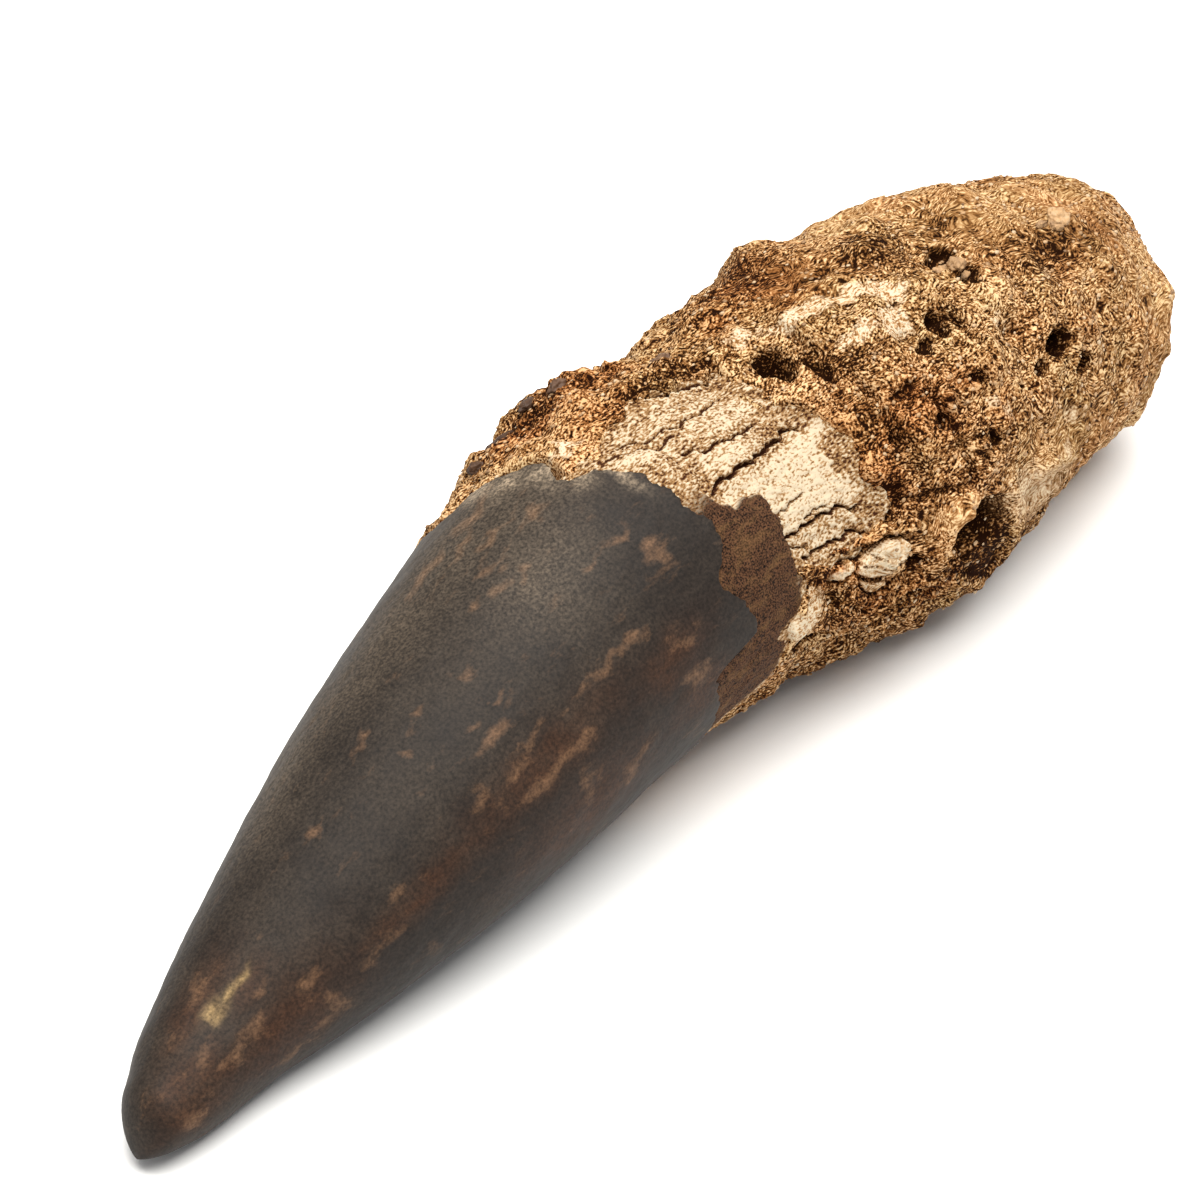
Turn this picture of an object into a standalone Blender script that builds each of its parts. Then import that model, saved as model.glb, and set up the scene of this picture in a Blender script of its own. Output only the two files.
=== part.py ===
"""A fossil spinosaurus tooth, lying down.

It is one solid: a conical enamel crown, the dentine of the root below it, and the sandstone that
is cemented to the root. The tooth lies along X with its tip at -X, and the origin is on the floor
under its middle.

Lengths are in millimetres until the mesh is written in metres. A place on the tooth is given by x,
the distance from the tip, and an angle in degrees around it: 0 on top, 90 on the -Y side, 180
underneath and -90 on the +Y side.
"""
import math
import random

import bpy
import numpy as np
from mathutils import noise

MM = 0.001

# Driving dimensions
LENGTH = 120.0
TIP_ROUNDING = 2.6
END_ROUNDING = 1.0
HEIGHT_TO_WIDTH = 0.95
ROOT_RADIUS = 13.5
ORIGIN_X = 60.0
ORIGIN_Y = 3.73

# The body as (x, value) knots: half its width, the y of its middle and the z of its underside
HALF_WIDTH = [(0, 2.3), (2.6, 2.9), (5, 3.85), (9, 4.9), (18, 7.25), (30, 10.0), (42, 11.8), (54, 13.1),
              (62, 13.9), (70, 13.9), (78, 14.9), (86, 15.1), (94, 14.4), (102, 13.2), (108, 12.1),
              (113, 10.0), (116.5, 6.9), (119, 3.6), (120, 2.4)]
CENTRE_Y = [
    (0, 0.25), (10, 2.05), (22, 2.4), (38, 3.0), (50, 3.9), (65, 4.6), (80, 3.1), (95, 3.4), (110, 3.3),
    (120, 3.7),
]
UNDERSIDE = [(0, 1.3), (5, 0.0), (14, -0.3), (24, 0.2), (40, 1.2), (60, 1.8), (72, -0.6), (80, -1.0),
             (98, -1.0), (106, 0.0), (114, 2.0), (120, 5.0)]
END_RISE_FROM = 112.0

# Unevenness as (size of its lumps, height, octaves of noise), which fades where the tooth is thin
CROWN_SWELL = (9.0, 0.12, 2)
ROCK_SWELL = (5.5, 0.55, 3)
ROCK_LUMPS = (1.9, 0.30, 2)
ROCK_STARTS_WITHIN = 1.2
THINNEST_UNEVEN = 4.0

# Edge of the enamel, as (angle, x) knots that run once around the crown
ENAMEL_EDGE = [
    (-180, 47.6), (-150, 46.2), (-120, 46.5), (-90, 45.6), (-65, 47.0), (-44, 47.7), (-37, 49.6),
    (-27, 51.2), (-18, 52.3), (-12, 52.0), (-4, 51.0), (-1, 51.9), (3, 53.3), (8, 54.2), (14, 55.0),
    (27, 55.5), (36, 55.6), (46, 56.4), (53, 55.8), (58, 54.6), (65, 55.0), (72, 55.9), (79, 56.3),
    (83, 55.9), (86, 52.8), (91, 52.2), (106, 52.7), (125, 51.8), (150, 49.4), (180, 47.6),
]
ENAMEL_STEP = 0.45
STEP_FROM, STEP_TO = -0.15, 0.25

# Where the sandstone has broken away and dentine shows, as (x, angle) outlines
NECK_BAND = [
    (53.5, -2), (55.0, 8), (57.0, 30), (59.0, 44), (61.5, 44), (62.3, 50), (61.8, 64), (61.8, 80),
    (61.1, 87), (59.2, 92), (60.0, 98), (59.6, 106), (57.5, 114), (53.0, 120), (48.0, 112), (48.0, -2),
]
BARE_PANELS = [
    (53.6, 3), (55.6, -1), (58.0, -5), (62.0, -6), (66.0, -4), (69.8, -4), (70.0, 3), (69.2, 9),
    (69.2, 17), (70.2, 21), (71.5, 27), (72.2, 33), (72.0, 44), (72.2, 57), (71.8, 66), (70.5, 72),
    (66.0, 74), (61.5, 73), (60.5, 60), (59.5, 45), (56.5, 40), (54.5, 20),
]
PANEL_DEPTH = 0.75
PANEL_SINKS_FROM, PANEL_SINKS_TO = 1.5, 4.0
PANEL_EDGE = 0.5
BARE_EDGE = 0.2
LEAST_CRACK = 0.5

# Cracks in the dentine: ((x, angle) points, half width, depth)
CRACKS = [
    ([(56.6, 1.5), (59.0, 7.5), (61.5, 10.5), (64.5, 9.6), (67.5, 6.5)], 0.30, 0.7),
    ([(54.8, 3.5), (56.8, 7), (58.8, 12), (60.5, 13.5)], 0.25, 0.5),
    ([(59.6, 20), (61.2, 23.5), (65.5, 23.3), (67.5, 21.5)], 0.35, 0.8),
    ([(58.8, 35.5), (61.0, 35), (63.5, 34), (66.5, 31.5), (70.2, 27.5)], 0.50, 1.2),
    ([(62.0, 56.3), (63.5, 53.5), (65.0, 52.2), (66.6, 50.6)], 0.26, 0.6),
    ([(61.9, 63.3), (63.8, 62), (66.0, 60.7), (68.0, 59.6), (70.5, 60.8)], 0.40, 1.0),
    ([(65.2, 59), (66.6, 57.6), (68.0, 57)], 0.22, 0.5),
    ([(63.6, 71.3), (66.0, 70.3), (70.5, 69.5)], 0.36, 0.8),
    ([(61.7, 64.5), (63.0, 67), (64.2, 67.5)], 0.25, 0.5),
    ([(62.3, -6), (64.0, -4.4), (66.5, -3.2), (69.4, -3.0)], 0.60, 1.3),
]

# Lumps, dents and pits of the root: (x, angle, height or depth, half length, half width)
LUMPS = [
    (54.2, -54, 0.9, 1.8, 1.8), (59.5, -52, 1.0, 2.2, 2.2), (60.8, -34, 0.7, 2.4, 2.2),
    (57.4, -24, 0.6, 2.6, 2.4), (66.0, -38, 0.7, 3.0, 2.6), (76.0, -54, 0.8, 3.8, 3.0),
    (85.0, -41, 1.5, 2.6, 3.6), (89.5, -46, 0.6, 3.4, 4.0), (69.0, 114, -0.9, 4.5, 2.4),
    (80.3, 124, 0.5, 2.4, 2.8), (84.2, 122, 0.7, 2.2, 2.6), (71.0, 108, 0.8, 1.2, 1.2),
    (70.5, 80, 0.6, 2.6, 1.8), (77.6, 79, 0.9, 1.9, 1.2), (76.2, 90, 0.8, 0.9, 2.6),
    (91.6, 15.0, 0.5, 1.1, 0.7), (113.4, 72, 1.0, 2.0, 2.4), (114.2, 48, 0.8, 1.8, 2.0),
    (112.6, 92, 0.7, 1.8, 2.2), (105.3, 18.5, 0.5, 1.4, 1.0), (65.8, -10, 1.0, 4.6, 1.4),
    (71.5, -11, 0.8, 3.0, 1.6), (99.0, -30, 0.7, 4.0, 3.4), (103.0, 96, 0.5, 5.0, 3.4),
    (66.0, 98, 0.6, 2.4, 2.2), (79.5, -2, 0.5, 5.0, 1.2), (84.0, 99, 0.8, 1.2, 2.6),
    (72.2, 20, 0.5, 2.0, 2.4), (64.5, -95, 1.0, 5.0, 4.0), (78.0, -120, 0.9, 5.0, 4.5),
    (94.0, -100, 1.1, 5.0, 5.0), (104.0, -75, 0.9, 3.4, 3.4), (70.0, -165, 0.8, 3.4, 3.6),
    (60.5, 150, 1.0, 3.6, 3.4),
]
PITS = [
    (73.0, 6.8, 2.3, 1.1, 1.9), (75.0, 16.5, 1.2, 0.8, 1.8), (92.9, 8.0, 1.3, 1.6, 0.9),
    (92.5, 20.5, 1.2, 1.2, 1.0), (85.6, 27.5, 1.6, 1.1, 1.2), (83.0, 31.5, 0.9, 1.1, 0.6),
    (95.6, 53.3, 2.3, 1.4, 1.1), (97.6, 65, 1.9, 1.2, 0.8), (92.6, 57.5, 1.0, 0.8, 0.6),
    (83.5, 67, 1.2, 1.0, 0.6), (80.4, 91.5, 2.0, 3.5, 2.5), (73.6, 89.2, 1.0, 0.9, 0.6),
    (75.4, 49, 0.8, 0.7, 1.0), (79.9, 52, 0.8, 0.8, 0.8), (78.5, 38, 0.6, 1.6, 0.5),
    (84.9, 47, 0.7, 0.6, 0.7), (88.8, 58, 0.6, 0.6, 0.5), (72.6, 63, 0.8, 1.0, 1.8),
    (67.0, 75.5, 0.7, 2.4, 0.7), (62.6, 103, 0.7, 1.5, 1.2), (74.0, -80, 1.8, 2.2, 2.0),
    (88.0, -112, 1.6, 1.8, 2.4), (99.0, -125, 1.4, 1.5, 1.5), (82.0, -72, 1.2, 1.4, 1.4),
]

PIT_FLOOR, PIT_RIM = 0.5, 1.3

# Small lumps and pits all over the sandstone
SCATTERED = 150
SCATTER_SEED = 11
SCATTER_FROM, SCATTER_TO = 50, 114
SCATTER_SIZES = (0.9, 2.4)
SCATTER_HEIGHTS = [0.3, 0.45, -0.45]
SCATTER_STRETCH = (0.7, 1.3)

# Fine grid that the relief is worked out on, and the solid that is kept of it
CROWN_END = 46.0
TIP_RINGS = 8
CROWN_RINGS = 44
ROOT_RINGS = 140
BROKEN_END_RINGS = 6
ANGLES = 176
KEPT_TRIANGLES = 9600
FLAT_BELOW = 0.12
SHARP_ANGLE = 40

# Colour and roughness
FINISHES = {"enamel": ("4E4A44", 0.42), "dentine": ("DCC9A8", 0.75), "sandstone": ("A47E52", 0.92)}


def through(knots, place):
    """The smooth curve through (place, value) knots"""
    at, value = np.array(knots, float).T
    slope = np.gradient(value, at)
    i = np.clip(np.searchsorted(at, place) - 1, 0, len(at) - 2)
    gap = at[i + 1] - at[i]
    t = np.clip((place - at[i]) / gap, 0, 1)
    start = value[i] * (1 + 2 * t) + slope[i] * gap * t
    end = value[i + 1] * (3 - 2 * t) - slope[i + 1] * gap * (1 - t)
    return start * (1 - t) ** 2 + end * t ** 2


def smooth(low, high, value):
    """0 below low, 1 above high and an even curve between them"""
    t = np.clip((value - low) / (high - low), 0, 1)
    return t * t * (3 - 2 * t)


def half_width(x):
    """Half the width at x, rounded off at the tip and at the broken end"""
    into_tip = np.clip(1 - x / TIP_ROUNDING, 0, 1)
    into_end = np.clip((x - LENGTH + END_ROUNDING) / END_ROUNDING, 0, 1)
    return through(HALF_WIDTH, x) * np.sqrt(1 - into_tip ** 2) * np.sqrt(1 - into_end ** 2)


def centre_z(x):
    """Height of the middle; past the last full section the end tapers to it from all sides"""
    return through(UNDERSIDE, x) + HEIGHT_TO_WIDTH * half_width(np.minimum(x, END_RISE_FROM))


def away(x, angle, from_x, from_angle):
    """Distances along and around the tooth from one place on it"""
    turn = (angle - from_angle + 180) % 360 - 180
    return x - from_x, np.radians(turn) * through(HALF_WIDTH, from_x)


def line_distance(x, angle, line):
    """Distance from a line drawn on the tooth as (x, angle) points"""
    points = np.array([(at_x, math.radians(at_angle) * ROOT_RADIUS) for at_x, at_angle in line])
    here = np.stack([x, np.radians(angle) * ROOT_RADIUS], -1)
    nearest = np.full(x.shape, np.inf)
    for start, end in zip(points, points[1:]):
        run = end - start
        part = np.clip((here - start) @ run / (run @ run), 0, 1)
        nearest = np.minimum(nearest, np.linalg.norm(here - start - part[..., None] * run, axis=-1))
    return nearest


def inside(x, angle, outline):
    """True where a place lies within an (x, angle) outline"""
    hit = np.zeros(x.shape, bool)
    for (x0, a0), (x1, a1) in zip(outline, outline[1:] + outline[:1]):
        if a0 != a1:
            crosses = (a0 > angle) != (a1 > angle)
            hit ^= crosses & (x < x0 + (angle - a0) * (x1 - x0) / (a1 - a0))
    return hit


def window(x, angle, outline):
    """1 well inside an outline, 0 well outside it and a slope across its edge"""
    distance = line_distance(x, angle, outline + outline[:1])
    signed = np.where(inside(x, angle, outline), distance, -distance)
    return smooth(-PANEL_EDGE, PANEL_EDGE, signed)


def past_enamel(x, angle):
    """How far a place lies beyond the edge of the enamel"""
    return x - through(ENAMEL_EDGE, angle)


def bare_dentine(x, angle):
    """1 where the dentine shows between the enamel and the sandstone"""
    shown = np.maximum(window(x, angle, BARE_PANELS), window(x, angle, NECK_BAND))
    return shown * smooth(-BARE_EDGE, BARE_EDGE, past_enamel(x, angle))


def uneven(x, angle, size, height, octaves):
    """Even noise over the surface, with lumps of about the size and height given"""
    turn = np.radians(angle)
    width = half_width(x)
    places = np.stack([x, np.sin(turn) * width, np.cos(turn) * width], -1) / size
    values = [noise.fractal(place, 1.0, 2.0, octaves) for place in places.reshape(-1, 3).tolist()]
    return height * np.array(values).reshape(x.shape)


def mound(x, angle, place):
    """A rounded lump, or a dent where its height is below zero"""
    at_x, at_angle, height, long, wide = place
    along, around = away(x, angle, at_x, at_angle)
    return height * np.exp(-(along / long) ** 2 - (around / wide) ** 2)


def hole(x, angle, place):
    """Depth of a pit with a flat floor and steep sides"""
    at_x, at_angle, depth, long, wide = place
    along, around = away(x, angle, at_x, at_angle)
    return depth * smooth(-PIT_RIM, -PIT_FLOOR, -np.hypot(along / long, around / wide))


def scattered_features():
    """Small lumps and pits at seeded places on the root"""
    pick = random.Random(SCATTER_SEED)
    features = []
    for _ in range(SCATTERED):
        wide = pick.uniform(*SCATTER_SIZES)
        height = wide * pick.choice(SCATTER_HEIGHTS)
        at_x = pick.uniform(SCATTER_FROM, SCATTER_TO)
        at_angle = pick.uniform(-180, 180)
        features.append((at_x, at_angle, height, wide, wide * pick.uniform(*SCATTER_STRETCH)))
    return features


def relief(x, angle):
    """How far the surface stands out from the smooth body"""
    beyond = past_enamel(x, angle)
    bare = bare_dentine(x, angle)
    rock = smooth(0.0, ROCK_STARTS_WITHIN, beyond) * (1 - bare)
    lift = (1 - rock) * uneven(x, angle, *CROWN_SWELL)
    lift += rock * (uneven(x, angle, *ROCK_SWELL) + uneven(x, angle, *ROCK_LUMPS))
    for place in scattered_features():
        lift += rock * mound(x, angle, place)
    for place in LUMPS:
        lift += mound(x, angle, place)
    for place in PITS:
        lift -= hole(x, angle, place)
    lift -= ENAMEL_STEP * smooth(STEP_FROM, STEP_TO, beyond) * bare
    lift -= PANEL_DEPTH * bare * smooth(PANEL_SINKS_FROM, PANEL_SINKS_TO, beyond)
    for line, wide, deep in CRACKS:
        lift -= deep * bare * np.clip(1 - line_distance(x, angle, line) / max(wide, LEAST_CRACK), 0, 1)
    return lift


def surface(x, angle):
    """Points on the tooth, in millimetres in the tooth's own frame"""
    width = half_width(x)
    width = np.maximum(width + relief(x, angle) * smooth(0.0, THINNEST_UNEVEN, width), 0)
    turn = np.radians(angle)
    y = through(CENTRE_Y, x) - width * np.sin(turn)
    z = centre_z(x) + HEIGHT_TO_WIDTH * width * np.cos(turn)
    return np.stack([x - ORIGIN_X, y - ORIGIN_Y, z], -1)


def ring_places():
    """The x of each ring, closer together at the tip, on the root and at the broken end"""
    tip = TIP_ROUNDING * (1 - np.cos(np.linspace(0, math.pi / 2, TIP_RINGS)))[1:]
    crown = np.linspace(TIP_ROUNDING, CROWN_END, CROWN_RINGS)[1:]
    root = np.linspace(CROWN_END, LENGTH - END_ROUNDING, ROOT_RINGS)[1:]
    turns = np.linspace(0, math.pi / 2, BROKEN_END_RINGS)[1:-1]
    end = LENGTH - END_ROUNDING + END_ROUNDING * np.sin(turns)
    return np.concatenate([tip, crown, root, end])


def fine_mesh():
    """The whole relief as a closed grid of rings with a point at each end"""
    places = ring_places()
    angles = np.linspace(-180, 180, ANGLES, endpoint=False)
    x, angle = np.meshgrid(places, angles, indexing="ij")
    points = surface(x, angle).reshape(-1, 3)
    ends = surface(np.array([0.0, LENGTH]), np.array([0.0, 0.0]))
    points = np.vstack([points, ends]) * MM
    tip, end = len(points) - 2, len(points) - 1
    last = (len(places) - 1) * ANGLES
    faces = []
    for ring in range(0, last, ANGLES):
        for i in range(ANGLES):
            j = (i + 1) % ANGLES
            faces.append((ring + i, ring + j, ring + ANGLES + j, ring + ANGLES + i))
    for i in range(ANGLES):
        j = (i + 1) % ANGLES
        faces.append((tip, j, i))
        faces.append((end, last + i, last + j))
    mesh = bpy.data.meshes.new("tooth_fine")
    mesh.from_pydata(points.tolist(), [], faces)
    return mesh


def thinned(mesh):
    """The same shape with fewer triangles where it is plain"""
    helper = bpy.data.objects.new("tooth_fine", mesh)
    bpy.context.collection.objects.link(helper)
    triangles = sum(len(face.vertices) - 2 for face in mesh.polygons)
    decimate = helper.modifiers.new("fewer triangles", "DECIMATE")
    decimate.ratio = KEPT_TRIANGLES / triangles
    decimate.use_collapse_triangulate = True
    bpy.context.view_layer.update()
    evaluated = helper.evaluated_get(bpy.context.evaluated_depsgraph_get())
    result = bpy.data.meshes.new_from_object(evaluated)
    bpy.data.objects.remove(helper)
    result.name = "tooth"
    return result


def flatten_underside(mesh):
    """Worn flats where the tooth rests: nothing reaches below the floor"""
    for vertex in mesh.vertices:
        if vertex.co.z < FLAT_BELOW * MM:
            vertex.co.z = 0.0


def material(name):
    """A plain material from its colour and roughness"""
    colour, roughness = FINISHES[name]
    made = bpy.data.materials.new(name)
    made.use_nodes = True
    shader = made.node_tree.nodes["Principled BSDF"]
    srgb = [int(colour[i:i + 2], 16) / 255 for i in (0, 2, 4)]
    linear = [c / 12.92 if c <= 0.04045 else ((c + 0.055) / 1.055) ** 2.4 for c in srgb]
    shader.inputs["Base Color"].default_value = (*linear, 1)
    shader.inputs["Roughness"].default_value = roughness
    return made


def colour_faces(mesh):
    """Enamel, bare dentine and sandstone each get their own material"""
    for name in FINISHES:
        mesh.materials.append(material(name))
    centres = np.array([face.center for face in mesh.polygons]) / MM
    x = centres[:, 0] + ORIGIN_X
    out = centres[:, 1] + ORIGIN_Y - through(CENTRE_Y, x)
    up = (centres[:, 2] - centre_z(x)) / HEIGHT_TO_WIDTH
    angle = np.degrees(np.arctan2(-out, up))
    index = np.where(past_enamel(x, angle) < 0, 0, np.where(bare_dentine(x, angle) > 0.5, 1, 2))
    for face, slot in zip(mesh.polygons, index):
        face.material_index = int(slot)


def build_tooth():
    """The whole fossil as one named object"""
    mesh = thinned(fine_mesh())
    flatten_underside(mesh)
    colour_faces(mesh)
    mesh.shade_smooth()
    mesh.set_sharp_from_angle(angle=math.radians(SHARP_ANGLE))
    tooth = bpy.data.objects.new("tooth", mesh)
    bpy.context.collection.objects.link(tooth)
    return tooth


def main():
    for old in list(bpy.data.objects):
        bpy.data.objects.remove(old)
    build_tooth()


main()
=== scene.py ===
"""Looks of a fossil spinosaurus tooth: enamel crown, dentine, cemented sandstone, grains and pebbles.

Lengths are in millimetres until a mesh is written in metres. A place on the tooth is given by x, the
distance from the tip, and an angle in degrees around it: 0 on top, 90 on the -Y side, 180 underneath
and -90 on the +Y side. Both follow the solid of the frame, which has the tip at -X.
"""
import math
import random

import bmesh
import bpy
import numpy as np
from mathutils import Euler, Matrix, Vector, noise


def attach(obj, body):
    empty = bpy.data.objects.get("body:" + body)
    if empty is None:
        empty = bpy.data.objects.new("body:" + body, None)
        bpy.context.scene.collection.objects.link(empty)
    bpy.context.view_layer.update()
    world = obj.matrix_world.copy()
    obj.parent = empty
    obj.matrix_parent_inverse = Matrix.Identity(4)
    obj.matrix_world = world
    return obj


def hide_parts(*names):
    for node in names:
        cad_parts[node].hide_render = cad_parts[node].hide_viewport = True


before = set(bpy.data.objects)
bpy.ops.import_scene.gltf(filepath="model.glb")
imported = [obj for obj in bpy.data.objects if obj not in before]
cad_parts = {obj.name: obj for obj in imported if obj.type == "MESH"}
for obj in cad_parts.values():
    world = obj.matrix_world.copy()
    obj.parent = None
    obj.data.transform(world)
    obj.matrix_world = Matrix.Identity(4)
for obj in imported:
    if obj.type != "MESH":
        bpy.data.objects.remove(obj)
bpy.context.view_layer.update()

bl_info = {
    "name": "Fossil spinosaurus tooth",
    "version": (1, 0, 0),
    "blender": (4, 5, 0),
    "location": "View3D > Sidebar > Fossil tooth",
    "description": "Builds the enamel, dentine, sandstone and grains of a fossil tooth",
    "category": "Add Mesh",
}

MM = 0.001

# Seeds of the loose grains and of the shapes of all stones
GRAIN_SEED, STONE_SEED = 3, 5

# Angles between which the meshes are finer, on the side that carries the most detail
FINE_FROM, FINE_TO = -65, 140
# Rings of each mesh, and its points around the tooth: on the finer side, then on the far side
TIP_RINGS, CROWN_RINGS, CROWN_AROUND = 12, 190, (300, 130)
DENTINE_RINGS, DENTINE_AROUND = 205, (400, 60)
NECK_RINGS, END_RINGS, END_EDGE_RINGS, ROCK_AROUND = 245, 238, 8, (300, 90)
# How finely the round stones are divided
GRAIN_DETAIL, PEBBLE_DETAIL = 1, 4

# The body of the tooth, as the solid has it
LENGTH = 120.0
TIP_ROUNDING = 2.6
END_ROUNDING = 1.0
HEIGHT_TO_WIDTH = 0.95
ROOT_RADIUS = 13.5
ORIGIN_X = 60.0
ORIGIN_Y = 3.73
END_RISE_FROM = 112.0

# (x, value) knots: half the width, the y of the middle and the z of the underside
HALF_WIDTH = [
    (0, 2.3), (2.6, 2.9), (5, 3.85), (9, 4.9), (18, 7.25), (30, 10.0), (42, 11.8), (54, 13.1), (62, 13.9),
    (70, 13.9), (78, 14.9), (86, 15.1), (94, 14.4), (102, 13.2), (108, 12.1), (113, 10.0), (116.5, 6.9),
    (119, 3.6), (120, 2.4),
]
CENTRE_Y = [
    (0, 0.25), (10, 2.05), (22, 2.4), (38, 3.0), (50, 3.9), (65, 4.6), (80, 3.1), (95, 3.4), (110, 3.3),
    (120, 3.7),
]
UNDERSIDE = [
    (0, 1.3), (5, 0.0), (14, -0.3), (24, 0.2), (40, 1.2), (60, 1.8), (72, -0.6), (80, -1.0), (98, -1.0),
    (106, 0.0), (114, 2.0), (120, 5.0),
]

# Unevenness as (size of its lumps, height, octaves of noise), which fades where the tooth is thin
CROWN_UNEVEN = [(9.0, 0.12, 2), (2.2, 0.05, 3), (0.8, 0.018, 2)]
EDGE_CHIPS = [(2.2, 0.35, 2), (0.7, 0.30, 2), (0.3, 0.15, 1)]
DENTINE_UNEVEN = [(1.2, 0.08, 3), (0.4, 0.04, 2)]
ROCK_UNEVEN = [(5.5, 0.55, 3), (1.9, 0.30, 2)]
ROCK_GRAIN = [(0.9, 0.09, 2), (0.4, 0.07, 2)]
THINNEST_UNEVEN = 4.0
# Noise that pushes places about, so that outlines and tints end ragged, as (size, reach)
CROWN_TINT_WARP, DENTINE_WARP, BARE_WARP = (1.5, 0.8), (1.3, 0.5), (3.0, 0.9)
ROCK_WARP, ROCK_TINT_WARP, STREAK_WARP = (1.4, 0.45), (2.4, 1.4), (1.2, 0.7)
# What counts as standing out, as (steps of averaging around it, height), for painted light on raised places
# and painted shade in hollows
DENTINE_RELIEF, FINE_RELIEF, BROAD_RELIEF = (10, 0.12), (6, 0.07), (90, 0.45)

# Edge of the enamel, as (angle, x) knots that run once around the crown, and the usual x of it
ENAMEL_EDGE = [
    (-180, 47.6), (-150, 46.2), (-120, 46.5), (-90, 45.6), (-65, 47.0), (-44, 47.7), (-37, 49.6),
    (-27, 51.2), (-18, 52.3), (-12, 52.2), (-4, 51.6), (-1, 52.2), (3, 53.3), (8, 54.2), (14, 55.0),
    (27, 55.5), (36, 55.6), (46, 56.4), (53, 55.8), (58, 54.6), (65, 55.0), (72, 55.9), (79, 56.3),
    (83, 55.9), (86, 52.8), (91, 52.2), (106, 52.7), (125, 51.8), (150, 49.4), (180, 47.6),
]
CROWN_LENGTH = 50.0
# The broken edge rounds over and goes back under the shell: (x past the edge, depth in thicknesses)
LIP = [(0.08, 0.12), (0.10, 0.5), (0.0, 1.3), (-1.5, 3.0), (-6.0, 10.0)]
LIP_ENDS_AT = 40.0
SCAR_DEPTH = 0.12

# Where the sandstone has broken away and dentine shows, as (x, angle) outlines
NECK_BAND = [
    (53.5, -2), (55.0, 8), (57.0, 30), (59.0, 44), (61.5, 44), (62.3, 50), (61.8, 64), (61.8, 80),
    (61.1, 87), (59.2, 92), (60.0, 98), (59.6, 106), (57.5, 114), (53.0, 120), (48.0, 112), (48.0, -2),
]
BARE_PANELS = [
    (53.6, 3), (55.6, -1), (58.0, -5), (62.0, -6), (66.0, -4), (69.8, -4), (70.0, 3), (69.2, 9), (69.2, 17),
    (70.2, 21), (71.5, 27), (72.2, 33), (72.0, 44), (72.2, 57), (71.8, 66), (70.5, 72), (66.0, 74),
    (61.5, 73), (60.5, 60), (59.5, 45), (56.5, 40), (54.5, 20),
]
DENTINE_FROM, DENTINE_TO = 44.0, 75.5
NECK_SOFTNESS, PANEL_SOFTNESS = 0.15, 1.5
# Angles over which the neck band turns from pale panel to brown
NECK_DARKENS = (28, 40)
PANEL_DEPTH = 0.75
PANEL_SINKS_FROM, PANEL_SINKS_TO = 1.5, 4.0
# How deep dentine lies below the sandstone, and how far in from the bare places it gets there
COVERED_DEPTH, COVERED_SINKS = 2.4, (0.6, 2.6)
# Fibres, flakes and grain of the bare dentine: size, height, octaves of noise and stretch along the root
FIBRES, FLAKES, PANEL_GRAIN = (0.7, 1.0, 3, 6.0), (2.4, 1.0, 3, 2.2), (0.45, 0.10, 2)
FLAKE_STEPS, FLAKE_HEIGHT, FIBRE_HEIGHT = 3.5, 0.10, 0.07

# Cracks in the dentine: ((x, angle) points, half width, depth)
CRACKS = [
    ([(56.6, 1.5), (59.0, 7.5), (61.5, 10.5), (64.5, 9.6), (67.5, 6.5)], 0.30, 0.7),
    ([(54.8, 3.5), (56.8, 7), (58.8, 12), (60.5, 13.5)], 0.25, 0.5),
    ([(59.6, 20), (61.2, 23.5), (65.5, 23.3), (67.5, 21.5)], 0.35, 0.8),
    ([(58.8, 35.5), (61.0, 35), (63.5, 34), (66.5, 31.5), (70.2, 27.5)], 0.50, 1.2),
    ([(62.0, 56.3), (63.5, 53.5), (65.0, 52.2), (66.6, 50.6)], 0.26, 0.6),
    ([(61.9, 63.3), (63.8, 62), (66.0, 60.7), (68.0, 59.6), (70.5, 60.8)], 0.40, 1.0),
    ([(65.2, 59), (66.6, 57.6), (68.0, 57)], 0.22, 0.5),
    ([(63.6, 71.3), (66.0, 70.3), (70.5, 69.5)], 0.36, 0.8),
    ([(61.7, 64.5), (63.0, 67), (64.2, 67.5)], 0.25, 0.5),
    ([(62.3, -6), (64.0, -4.4), (66.5, -3.2), (69.4, -3.0)], 0.60, 1.3),
]
CRACK_WIDTH, CRACK_DEPTH, CRACK_FLOOR = 0.42, 0.75, 0.15

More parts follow.
